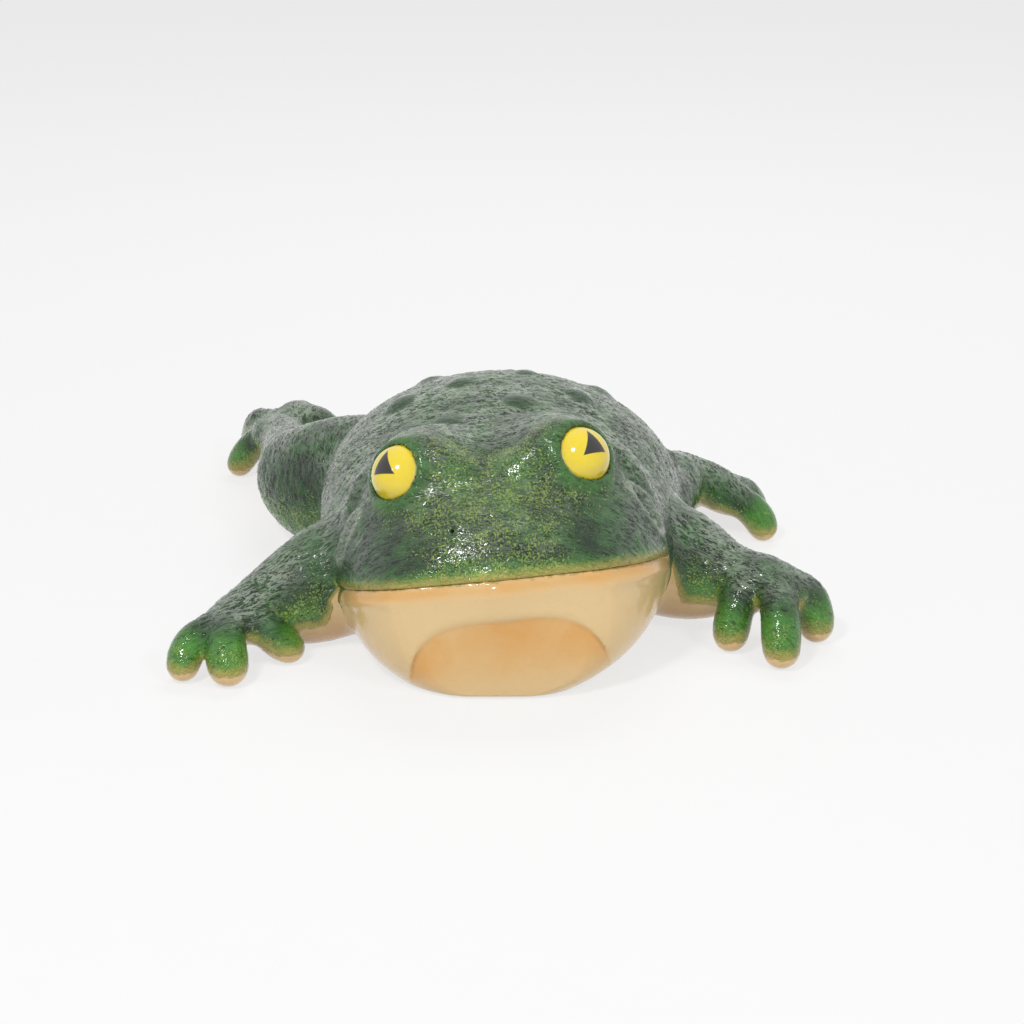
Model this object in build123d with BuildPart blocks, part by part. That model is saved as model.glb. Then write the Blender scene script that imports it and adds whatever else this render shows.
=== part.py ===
from build123d import *
from math import cos, pi, radians, sin, tan
import os

# Crawling frog figurine, a hollow painted resin casting that rests on its belly.
# It faces -Y. Its own right side is at -X. The resting plane is z = 0.

# Body form
body_length = 342.0
body_width = 236.0
body_height = 151.0
nose_reach = 174.0
head_roll = 6.0
roll_height = 70.0
round_points = 18
belly_fullness_share = 0.8

# Casting walls
wall = 8.0
floor_wall = 10.0
overrun = 30.0

# Mouth line, which is also where the upper and lower castings part
mouth_front_height = 75.0
mouth_corner_height = 52.0
mouth_corner_y = -84.0
rear_seam_height = 84.0
lip_groove_depth = 2.6
lip_groove_height = 3.2

# Seam bonding band and locating pegs inside the castings
band_thickness = 2.0
band_height = 14.0
peg_diameter = 3.0
peg_length = 12.0
peg_play = 0.15

# Eyes, their mounds and their sockets
mound_radius = 36.0
mound_out = 39.0
mound_y = -89.0
mound_height = 114.0
eye_turn = 42.0
eye_lift = 31.0
eye_radius = 19.0
eye_set_out = 24.5
eye_back = 4.0
eye_play = 0.1

# Nostrils
nostril_out = 20.0
nostril_y = -143.0
nostril_height = 107.0
nostril_radius = 8.5
nostril_bore = 3.6
nostril_depth = 4.0

# Warts and ear discs
wart_radius = 24.0
ear_radius = 40.0
ear_proud = 2.2
ear_out = 91.0
ear_y = -78.0
ear_height = 92.0
ear_turn = 78.0
ear_lift = 22.0

# Limbs
arm_reach = 200.0
leg_reach = 300.0
tip_length_share = 0.45
tip_width_share = 0.70

# Limb dowels
dowel_diameter = 8.0
dowel_length = 44.0
dowel_in_limb = 20.0
dowel_play = 0.15
boss_diameter = 18.0
arm_dowel_height = 26.0
leg_dowel_height = 30.0
right_arm_dowel_y = -62.0
left_arm_dowel_y = -42.0
right_leg_dowel_y = 96.0
left_leg_dowel_y = 76.0

# Base plate, pad and vent plug
pad_thickness = 3.0
pad_rise = 1.5
pad_length = 236.0
pad_width = 116.0
pad_play = 0.2
plate_length = 204.0
plate_width = 92.0
plate_thickness = 4.0
plate_play = 0.2
plate_ledge = 7.0
base_y = -18.0
plug_diameter = 14.0
plug_head_diameter = 20.0
plug_head_height = 2.0
plug_y = 40.0

half_width = body_width / 2
tail_y = body_length - nose_reach
mid_y = body_length / 2 - nose_reach

# Body stations: length, half width, top, belt, bottom and roll, as shares
body_shares = (
    (0.007, 0.25, 0.545, 0.478, 0.220, 1.0),
    (0.023, 0.45, 0.605, 0.455, 0.045, 1.0),
    (0.058, 0.63, 0.690, 0.420, -0.038, 1.0),
    (0.111, 0.75, 0.785, 0.390, -0.052, 1.0),
    (0.181, 0.825, 0.880, 0.370, -0.054, 1.0),
    (0.260, 0.870, 0.935, 0.362, -0.052, 0.9),
    (0.363, 0.915, 0.970, 0.362, -0.054, 0.6),
    (0.494, 0.990, 1.000, 0.370, -0.054, 0.2),
    (0.626, 0.990, 0.950, 0.370, -0.052, 0.0),
    (0.757, 0.880, 0.815, 0.345, -0.040, 0.0),
    (0.865, 0.670, 0.640, 0.310, -0.010, 0.0),
    (0.942, 0.430, 0.480, 0.280, 0.070, 0.0),
    (0.984, 0.210, 0.365, 0.255, 0.150, 0.0),
)
tip_height_share = 0.480
tail_height_share = 0.252

# Back warts: across, along and size, as shares of half width, body length and wart radius
wart_shares = (
    (-0.52, 0.36, 0.80),
    (-0.30, 0.34, 0.85),
    (-0.55, 0.50, 0.85),
    (-0.22, 0.50, 0.75),
    (0.10, 0.40, 0.85),
    (0.42, 0.48, 0.95),
    (0.14, 0.56, 0.70),
    (0.55, 0.60, 0.80),
    (-0.40, 0.64, 0.80),
    (0.05, 0.70, 0.80),
    (-0.18, 0.80, 0.70),
    (0.30, 0.76, 0.75),
)
wart_proud_share = 0.12

# Each run of a limb: out, along, up, half width and half height, as shares of the reach
right_arm_shares = (
    (-0.3, -0.2, 0.22, 0.15, 0.17),
    (-0.46, -0.27, 0.2, 0.165, 0.19),
    (-0.6, -0.35, 0.165, 0.145, 0.17),
    (-0.735, -0.45, 0.145, 0.105, 0.105),
    (-0.82, -0.53, 0.13, 0.09, 0.065),
    (-0.86, -0.58, 0.125, 0.065, 0.0475),
)
left_arm_shares = (
    (0.3, -0.11, 0.23, 0.15, 0.18),
    (0.48, -0.17, 0.215, 0.165, 0.185),
    (0.61, -0.225, 0.19, 0.14, 0.165),
    (0.74, -0.3, 0.18, 0.105, 0.1),
    (0.84, -0.36, 0.185, 0.1, 0.08),
    (0.89, -0.39, 0.175, 0.075, 0.06),
)
right_finger_shares = (
    (
        (-0.82, -0.56, 0.12, 0.045, 0.045),
        (-0.9, -0.6, 0.125, 0.0475, 0.0475),
        (-0.95, -0.65, 0.085, 0.05, 0.05),
        (-0.972, -0.696, 0.025, 0.05, 0.05),
    ),
    (
        (-0.82, -0.57, 0.125, 0.0475, 0.0475),
        (-0.83, -0.64, 0.125, 0.0525, 0.0525),
        (-0.825, -0.69, 0.08, 0.059, 0.0575),
        (-0.8179, -0.7248, 0.025, 0.06, 0.0575),
    ),
    (
        (-0.79, -0.54, 0.13, 0.045, 0.045),
        (-0.73, -0.56, 0.12, 0.045, 0.045),
        (-0.675, -0.55, 0.07, 0.049, 0.049),
        (-0.6354, -0.5364, 0.025, 0.048, 0.048),
    ),
    (
        (-0.79, -0.49, 0.125, 0.043, 0.041),
        (-0.85, -0.475, 0.115, 0.044, 0.0425),
        (-0.895, -0.465, 0.065, 0.045, 0.045),
        (-0.9245, -0.4581, 0.025, 0.045, 0.044),
    ),
)
left_finger_shares = (
    (
        (0.79, -0.36, 0.185, 0.049, 0.0475),
        (0.745, -0.41, 0.16, 0.052, 0.051),
        (0.72, -0.44, 0.09, 0.054, 0.053),
        (0.712, -0.454, 0.025, 0.054, 0.053),
    ),
    (
        (0.84, -0.39, 0.19, 0.05, 0.049),
        (0.855, -0.47, 0.175, 0.054, 0.053),
        (0.86, -0.55, 0.1, 0.057, 0.056),
        (0.8605, -0.59, 0.025, 0.057, 0.056),
    ),
    (
        (0.88, -0.36, 0.18, 0.05, 0.049),
        (0.95, -0.36, 0.16, 0.053, 0.052),
        (0.985, -0.37, 0.09, 0.054, 0.053),
        (0.9946, -0.3795, 0.025, 0.054, 0.053),
    ),
    (
        (0.87, -0.33, 0.165, 0.044, 0.0425),
        (0.92, -0.28, 0.14, 0.045, 0.044),
        (0.95, -0.25, 0.07, 0.046, 0.045),
        (0.9616, -0.2325, 0.025, 0.046, 0.045),
    ),
)
right_thigh_shares = (
    (-0.18, 0.28, 0.1567, 0.15, 0.1433),
    (-0.32, 0.32, 0.15, 0.1533, 0.1567),
    (-0.44, 0.3633, 0.14, 0.11, 0.1333),
    (-0.4867, 0.4, 0.14, 0.0833, 0.1067),
)
right_shank_shares = (
    (-0.46, 0.38, 0.14, 0.08, 0.1067),
    (-0.49, 0.49, 0.14, 0.0767, 0.0867),
    (-0.5133, 0.6, 0.1333, 0.0633, 0.0667),
    (-0.5333, 0.7067, 0.1267, 0.0567, 0.0533),
    (-0.5567, 0.7933, 0.12, 0.0633, 0.0433),
    (-0.5633, 0.84, 0.1167, 0.05, 0.0367),
)
left_thigh_shares = (
    (0.16, 0.3, 0.15, 0.13, 0.1267),
    (0.26, 0.26, 0.1433, 0.12, 0.12),
    (0.3467, 0.22, 0.1333, 0.0867, 0.0967),
    (0.3667, 0.2033, 0.1267, 0.0633, 0.07),
)
left_shank_shares = (
    (0.3367, 0.22, 0.1333, 0.0667, 0.08),
    (0.3767, 0.3, 0.14, 0.0767, 0.0767),
    (0.4, 0.3733, 0.14, 0.062, 0.064),
    (0.41, 0.4333, 0.1333, 0.052, 0.054),
)
left_foot_shares = (
    (0.4, 0.42, 0.1333, 0.052, 0.052),
    (0.4467, 0.4167, 0.1267, 0.0567, 0.05),
    (0.4967, 0.4067, 0.11, 0.0567, 0.0433),
    (0.5267, 0.3967, 0.0933, 0.0467, 0.0367),
)
right_toe_shares = (
    (
        (-0.56, 0.8, 0.11, 0.0333, 0.0317),
        (-0.6133, 0.8067, 0.0867, 0.0333, 0.0317),
        (-0.65, 0.81, 0.0433, 0.0317, 0.0317),
        (-0.6766, 0.8115, 0.0167, 0.0317, 0.0307),
    ),
    (
        (-0.5667, 0.8267, 0.1167, 0.035, 0.0333),
        (-0.6, 0.88, 0.1167, 0.0367, 0.035),
        (-0.6267, 0.9533, 0.06, 0.0367, 0.036),
        (-0.6378, 0.9859, 0.0167, 0.0367, 0.036),
    ),
    (
        (-0.5533, 0.84, 0.12, 0.035, 0.0333),
        (-0.52, 0.9067, 0.1267, 0.0383, 0.0367),
        (-0.4933, 0.9933, 0.0667, 0.0383, 0.0367),
        (-0.4818, 1.0326, 0.0167, 0.0383, 0.0367),
    ),
    (
        (-0.5333, 0.82, 0.12, 0.0333, 0.0317),
        (-0.4833, 0.8867, 0.1233, 0.0367, 0.035),
        (-0.4333, 0.9467, 0.06, 0.0367, 0.035),
        (-0.4149, 0.9703, 0.0167, 0.0367, 0.035),
    ),
)
left_toe_shares = (
    (
        (0.5133, 0.3967, 0.09, 0.0333, 0.032),
        (0.5633, 0.3767, 0.08, 0.0347, 0.0333),
        (0.6, 0.3567, 0.0467, 0.034, 0.0333),
        (0.6182, 0.345, 0.0167, 0.0333, 0.0327),
    ),
    (
        (0.5133, 0.41, 0.0933, 0.0333, 0.032),
        (0.5567, 0.44, 0.09, 0.034, 0.0333),
        (0.5867, 0.4667, 0.05, 0.0347, 0.034),
        (0.6032, 0.4823, 0.0167, 0.0347, 0.034),
    ),
    (
        (0.4933, 0.42, 0.0933, 0.032, 0.031),
        (0.52, 0.4867, 0.0867, 0.033, 0.032),
        (0.54, 0.5467, 0.0467, 0.0347, 0.034),
        (0.5474, 0.5727, 0.0167, 0.0347, 0.0333),
    ),
    (
        (0.46, 0.4267, 0.0967, 0.0307, 0.0293),
        (0.4667, 0.5, 0.0833, 0.031, 0.03),
        (0.4667, 0.5667, 0.0433, 0.0333, 0.0327),
        (0.4667, 0.5933, 0.0167, 0.0333, 0.032),
    ),
)

# Places of the locating pegs along the body, as shares of its length
peg_shares = (0.30, 0.62)


def station_plane(y, roll):
    """Cross plane of the body, turned about the roll axis."""
    level = Plane(origin=(0, y, roll_height), x_dir=(1, 0, 0), z_dir=(0, -1, 0))
    return level.rotated((0, -roll, 0))


def ring(width, top, belt, bottom):
    """Points of one cross section from its lowest: round above the belt, fuller below it."""
    points = []
    for index in range(round_points):
        angle = 2 * pi * index / round_points - pi / 2
        across, up = cos(angle), sin(angle)
        power = 1.0 if up >= 0 else belly_fullness_share
        side = width * (abs(across) ** power) * (1 if across >= 0 else -1)
        rise = (top - belt) if up >= 0 else (belt - bottom)
        lift = rise * (abs(up) ** power) * (1 if up >= 0 else -1)
        points.append((side, belt + lift - roll_height))
    return points


def body_form(inset):
    """Closed form of head and body, drawn in on all sides by the inset."""
    along = (body_length - 2 * inset) / body_length
    across = (half_width - inset) / half_width
    upright = (body_height / 2 - inset) / (body_height / 2)
    with BuildPart() as form:
        tips = []
        for end, share in ((-nose_reach, tip_height_share), (tail_y, tail_height_share)):
            tips.append(Vertex(0, mid_y + (end - mid_y) * along, body_height * share))
        sections = []
        for length, width, top, belt, bottom, roll in body_shares:
            y = mid_y + (body_length * length - nose_reach - mid_y) * along
            middle = body_height * belt
            crown = middle + (body_height * top - middle) * upright
            base = middle - (middle - body_height * bottom) * upright
            with BuildSketch(station_plane(y, head_roll * roll)) as section:
                with BuildLine():
                    Spline(*ring(half_width * width * across, crown, middle, base), periodic=True)
                make_face()
            sections.append(section.sketch)
        loft([tips[0], *[one.faces()[0] for one in sections], tips[1]])
    return form.part


def seam_profile(rise, drop):
    """Slab that follows the mouth line and the seam, from rise above it to drop below it."""
    front = -nose_reach - overrun
    rear = tail_y + overrun
    slope = (mouth_front_height - mouth_corner_height) / (-nose_reach - mouth_corner_y)
    front_height = mouth_corner_height + slope * (front - mouth_corner_y)
    line = [(front, front_height), (mouth_corner_y, mouth_corner_height), (rear, rear_seam_height)]
    upper = [(y, z + rise - roll_height) for y, z in line]
    lower = [(y, z - drop - roll_height) for y, z in reversed(line)]
    plane = Plane(origin=(0, 0, roll_height), x_dir=(0, 1, 0), z_dir=(1, 0, 0)).rotated((0, -head_roll, 0))
    with BuildPart() as slab:
        with BuildSketch(plane):
            with BuildLine():
                Polyline(*upper, *lower, close=True)
            make_face()
        extrude(amount=half_width + overrun, both=True)
    return slab.part


def limb_run(stations, reach):
    """Tapering run through elliptical stations, ending in a rounded tip."""
    places = [Vector(out, along, up) * reach for out, along, up, _, _ in stations]
    with BuildPart() as run:
        for index, (place, station) in enumerate(zip(places, stations)):
            before = places[max(index - 1, 0)]
            after = places[min(index + 1, len(places) - 1)]
            heading = (after - before).normalized()
            level = Vector(heading.Y, -heading.X, 0).normalized()
            with BuildSketch(Plane(origin=place, x_dir=level, z_dir=heading)):
                Ellipse(station[3] * reach, station[4] * reach)
        round_off = heading * stations[-1][4] * reach * tip_length_share
        with BuildSketch(Plane(origin=places[-1] + round_off, x_dir=level, z_dir=heading)):
            Ellipse(*(radius * reach * tip_width_share for radius in stations[-1][3:]))
        loft()
    return run.part


def head_place(out, y, height):
    """Point fixed to the rolled head, for a place on the unrolled head."""
    turned = Vector(out, y, height - roll_height).rotate(Axis.Y, -head_roll)
    return turned + Vector(0, 0, roll_height)


def eye_heading(side):
    """Direction in which the eye on one side looks."""
    level = Vector(0, -1, 0).rotate(Axis.X, -eye_lift).rotate(Axis.Z, side * eye_turn)
    return level.rotate(Axis.Y, -head_roll)


def eye_plane(side):
    """Plane through the mound centre, square to the eye's direction."""
    return Plane(origin=head_place(side * mound_out, mound_y, mound_height), z_dir=eye_heading(side))


def eye_form(side, play):
    """Domed button of the eye with a flat back, grown by the play."""
    back = eye_set_out - eye_back - play
    with BuildPart() as form:
        with Locations(eye_plane(side).offset(eye_set_out)):
            Sphere(eye_radius + play)
        split(bisect_by=eye_plane(side).offset(back), keep=Keep.TOP)
    return form.part


def station_row(along):
    """Body shares at one share of the length, between the stations ahead and behind."""
    ahead = max(row for row in body_shares if row[0] <= along)
    behind = min(row for row in body_shares if row[0] > along)
    blend = (along - ahead[0]) / (behind[0] - ahead[0])
    return tuple(front + (rear - front) * blend for front, rear in zip(ahead, behind))


def wall_reach(y):
    """Half width of the body at one place along it."""
    return half_width * station_row((y + nose_reach) / body_length)[1]


def crown_place(across, along):
    """Point on the back and the direction out of it, from shares of half width and length."""
    row = station_row(along)
    belt = body_height * row[3]
    rise = body_height * row[2] - belt
    side = half_width * row[1]
    x = half_width * across
    lift = (1 - (x / side) ** 2) ** 0.5
    place = Vector(x, body_length * along - nose_reach, belt + rise * lift)
    return place, Vector(x / side**2, 0, lift / rise).normalized()


def seam_height(x, y):
    """Height of the seam behind the mouth corners."""
    share = (y - mouth_corner_y) / (tail_y + overrun - mouth_corner_y)
    middle = mouth_corner_height + (rear_seam_height - mouth_corner_height) * share
    return middle + x * tan(radians(head_roll))


def dowel_form(side, y, height, extra):
    """Round bar across the joint between the body wall and a limb."""
    middle = side * (wall_reach(y) + dowel_in_limb - dowel_length / 2)
    with BuildPart() as bar:
        with Locations((middle, y, height)):
            Cylinder(dowel_diameter / 2 + extra, dowel_length + 2 * extra, rotation=(0, 90, 0))
    return bar.part


def boss_form(side, y, height):
    """Thickening inside the body wall that holds a dowel."""
    depth = dowel_length - dowel_in_limb + wall
    with BuildPart() as boss:
        with Locations((side * (wall_reach(y) - depth / 2), y, height)):
            Cylinder(boss_diameter / 2, depth, rotation=(0, 90, 0))
        add(outer_form, mode=Mode.INTERSECT)
    return boss.part


def oval(length, width, base, height):
    """Upright oval disc on the middle line, under the belly."""
    with BuildPart() as disc:
        with BuildSketch(Plane.XY.offset(base)):
            with Locations((0, base_y)):
                Ellipse(width / 2, length / 2)
        extrude(amount=height)
    return disc.part


def pegs_form(extra):
    """Upright pegs in the thickness of the body wall, across the seam."""
    with BuildPart() as pegs:
        for along in peg_shares:
            y = body_length * along - nose_reach
            for side in (-1, 1):
                x = side * (wall_reach(y) - wall / 2)
                with Locations((x, y, seam_height(x, y))):
                    Cylinder(peg_diameter / 2 + extra, peg_length + 2 * extra)
    return pegs.part


def limb(run_shares, reach, dowel):
    """Limb casting: its runs and digits, flat where it rests, seated on the body."""
    runs = [limb_run(shares, reach) for shares in run_shares]
    bore = dowel_form(*dowel, dowel_play)
    with BuildPart() as casting:
        for each in runs:
            add(each)
        split(bisect_by=Plane.XY, keep=Keep.TOP)
        add(solid_skin.part, mode=Mode.SUBTRACT)
        add(bore, mode=Mode.SUBTRACT)
        add(pegs_form(peg_play), mode=Mode.SUBTRACT)
    return casting.part


def finish(piece, name):
    """Names a finished piece and writes it."""
    piece.label = name
    export_step(piece, "parts/" + name + ".step")


os.makedirs("parts", exist_ok=True)

outer_form = body_form(0.0)
cavity_form = body_form(wall)
groove_form = body_form(lip_groove_depth)
band_form = body_form(wall + band_thickness)
below_seam = seam_profile(0, body_height)

dowels = {
    "dowel_front_right": (-1, right_arm_dowel_y, arm_dowel_height),
    "dowel_front_left": (1, left_arm_dowel_y, arm_dowel_height),
    "dowel_hind_right": (-1, right_leg_dowel_y, leg_dowel_height),
    "dowel_hind_left": (1, left_leg_dowel_y, leg_dowel_height),
}

# Inside space of the casting, above the floor of the belly
with BuildPart() as hollow:
    add(cavity_form)
    split(bisect_by=Plane.XY.offset(pad_rise + floor_wall), keep=Keep.TOP)

# Outer skin without its hollow: body, warts, nostrils, ear discs and eye mounds
with BuildPart() as solid_skin:
    add(outer_form)
    for across, along, size in wart_shares:
        place, out = crown_place(across, along)
        radius = wart_radius * size
        with Locations(place - out * radius * (1 - wart_proud_share)):
            Sphere(radius)
    for side in (-1, 1):
        with Locations(head_place(side * nostril_out, nostril_y, nostril_height - nostril_radius / 2)):
            Sphere(nostril_radius)
        out = Vector(0, -1, 0).rotate(Axis.X, -ear_lift).rotate(Axis.Z, side * ear_turn)
        centre = Vector(side * ear_out, ear_y, ear_height) + out * (ear_proud - ear_radius)
        with Locations(head_place(centre.X, centre.Y, centre.Z)):
            Sphere(ear_radius)
        with Locations(head_place(side * mound_out, mound_y, mound_height)):
            Sphere(mound_radius)

# Hollow skin with solid eye mounds, their sockets and the nostril bores
with BuildPart() as skin:
    add(solid_skin.part)
    add(hollow.part, mode=Mode.SUBTRACT)
    for side in (-1, 1):
        with Locations(head_place(side * mound_out, mound_y, mound_height)):
            Sphere(mound_radius - eye_play)
    for side in (-1, 1):
        add(eye_form(side, eye_play), mode=Mode.SUBTRACT)
        nostril = head_place(side * nostril_out, nostril_y, nostril_height - nostril_radius / 2)
        with Locations(Plane(origin=nostril, z_dir=(0, -1, 0)).offset(nostril_radius - nostril_depth / 2)):
            Cylinder(nostril_bore / 2, nostril_depth, mode=Mode.SUBTRACT)

# Upper casting
with BuildPart() as back_shell:
    add(skin.part)
    add(below_seam, mode=Mode.SUBTRACT)
    add(pegs_form(peg_play), mode=Mode.SUBTRACT)
finish(back_shell.part, "back_shell")

# Groove under the upper lip, from corner to corner of the mouth
with BuildPart() as lip_groove:
    add(seam_profile(0, lip_groove_height))
    split(bisect_by=Plane.XZ.offset(-mouth_corner_y), keep=Keep.TOP)
    add(groove_form, mode=Mode.SUBTRACT)

# Lower casting
with BuildPart() as belly_shell:
    add(outer_form)
    add(hollow.part, mode=Mode.SUBTRACT)
    add(below_seam, mode=Mode.INTERSECT)
    split(bisect_by=Plane.XY.offset(pad_rise), keep=Keep.TOP)
    add(oval(pad_length + 2 * pad_play, pad_width + 2 * pad_play, 0, pad_thickness), mode=Mode.SUBTRACT)
    add(
        oval(plate_length + 2 * plate_play, plate_width + 2 * plate_play, pad_thickness, plate_thickness),
        mode=Mode.SUBTRACT,
    )
    add(
        oval(plate_length - 2 * plate_ledge, plate_width - 2 * plate_ledge, pad_thickness, overrun),
        mode=Mode.SUBTRACT,
    )
    add(pegs_form(peg_play), mode=Mode.SUBTRACT)
    for dowel in dowels.values():
        add(boss_form(*dowel))
    for dowel in dowels.values():
        add(dowel_form(*dowel, dowel_play), mode=Mode.SUBTRACT)
    add(lip_groove.part, mode=Mode.SUBTRACT)
finish(belly_shell.part, "belly_shell")

# Glass eyes
finish(eye_form(-1, 0), "eye_right")
finish(eye_form(1, 0), "eye_left")

# Limb castings, each of a few runs and its digits
limbs = {
    "front_leg_right": ((right_arm_shares, *right_finger_shares), arm_reach, "dowel_front_right"),
    "front_leg_left": ((left_arm_shares, *left_finger_shares), arm_reach, "dowel_front_left"),
    "hind_leg_right": ((right_thigh_shares, right_shank_shares, *right_toe_shares), leg_reach, "dowel_hind_right"),
    "hind_leg_left": (
        (left_thigh_shares, left_shank_shares, left_foot_shares, *left_toe_shares),
        leg_reach,
        "dowel_hind_left",
    ),
}
for name, (run_shares, reach, dowel_name) in limbs.items():
    finish(limb(run_shares, reach, dowels[dowel_name]), name)
for name, dowel in dowels.items():
    finish(dowel_form(*dowel, 0), name)

# Bonding band and pegs inside the seam
with BuildPart() as seam_band:
    add(seam_profile(band_height / 2, band_height / 2))
    add(cavity_form, mode=Mode.INTERSECT)
    add(band_form, mode=Mode.SUBTRACT)
finish(seam_band.part, "seam_band")
finish(pegs_form(0), "seam_pegs")

# Base plate with its vent plug, and the pad underneath
with BuildPart() as base_plate:
    add(oval(plate_length, plate_width, pad_thickness, plate_thickness))
    with Locations((0, plug_y, pad_thickness + plate_thickness / 2)):
        Cylinder(plug_diameter / 2 + plate_play, plate_thickness, mode=Mode.SUBTRACT)
finish(base_plate.part, "base_plate")
with BuildPart() as vent_plug:
    with BuildSketch(Plane.XY.offset(pad_thickness)):
        with Locations((0, plug_y)):
            Circle(plug_diameter / 2)
    extrude(amount=plate_thickness)
    with BuildSketch(Plane.XY.offset(pad_thickness + plate_thickness)):
        with Locations((0, plug_y)):
            Circle(plug_head_diameter / 2)
    extrude(amount=plug_head_height)
finish(vent_plug.part, "vent_plug")
finish(oval(pad_length, pad_width, 0, pad_thickness), "base_pad")
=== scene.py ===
"""Crawling frog figurine of painted resin: skin, limbs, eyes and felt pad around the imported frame."""
import math

import bmesh
import bpy
import numpy as np
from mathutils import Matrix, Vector


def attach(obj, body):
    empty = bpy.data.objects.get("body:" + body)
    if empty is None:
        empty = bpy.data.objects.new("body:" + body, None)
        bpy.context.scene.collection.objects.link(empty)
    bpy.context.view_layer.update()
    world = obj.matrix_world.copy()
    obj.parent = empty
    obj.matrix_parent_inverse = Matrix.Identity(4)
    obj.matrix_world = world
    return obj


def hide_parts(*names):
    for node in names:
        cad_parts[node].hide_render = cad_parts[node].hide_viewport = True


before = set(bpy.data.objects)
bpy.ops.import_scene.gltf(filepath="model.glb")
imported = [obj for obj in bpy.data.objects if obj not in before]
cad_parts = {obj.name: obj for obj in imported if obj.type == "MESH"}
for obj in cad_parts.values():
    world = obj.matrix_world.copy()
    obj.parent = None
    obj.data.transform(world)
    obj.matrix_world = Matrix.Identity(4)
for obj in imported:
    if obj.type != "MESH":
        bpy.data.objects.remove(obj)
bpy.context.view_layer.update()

bl_info = {
    "name": "Crawling frog figurine",
    "version": (1, 0, 0),
    "blender": (4, 5, 0),
    "location": "View3D > Sidebar > Frog",
    "description": "Makes the painted skin, limbs, eyes and pad of a crawling frog ornament",
    "category": "Object",
}

MM = 0.001

# Body stations: length, half width, top, belt, bottom and head roll, as shares
BODY_SHARES = (
    (0.000, 0.00, 0.480, 0.480, 0.480, 1.0),
    (0.007, 0.25, 0.545, 0.478, 0.220, 1.0),
    (0.023, 0.45, 0.605, 0.455, 0.045, 1.0),
    (0.058, 0.63, 0.690, 0.420, -0.038, 1.0),
    (0.111, 0.75, 0.785, 0.390, -0.052, 1.0),
    (0.181, 0.825, 0.880, 0.370, -0.054, 1.0),
    (0.260, 0.870, 0.935, 0.362, -0.052, 0.9),
    (0.363, 0.915, 0.970, 0.362, -0.054, 0.6),
    (0.494, 0.990, 1.000, 0.370, -0.054, 0.2),
    (0.626, 0.990, 0.950, 0.370, -0.052, 0.0),
    (0.757, 0.880, 0.815, 0.345, -0.040, 0.0),
    (0.865, 0.670, 0.640, 0.310, -0.010, 0.0),
    (0.942, 0.430, 0.480, 0.280, 0.070, 0.0),
    (0.984, 0.210, 0.365, 0.255, 0.150, 0.0),
    (1.000, 0.00, 0.252, 0.252, 0.252, 0.0),
)

# Back warts: across, along and size, as shares of half width, body length and wart radius
WART_SHARES = (
    (-0.52, 0.36, 0.80), (-0.30, 0.34, 0.85), (-0.55, 0.50, 0.85), (-0.22, 0.50, 0.75),
    (0.10, 0.40, 0.85), (0.42, 0.48, 0.95), (0.14, 0.56, 0.70), (0.55, 0.60, 0.80),
    (-0.40, 0.64, 0.80), (0.05, 0.70, 0.80), (-0.18, 0.80, 0.70), (0.30, 0.76, 0.75),
)

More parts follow.
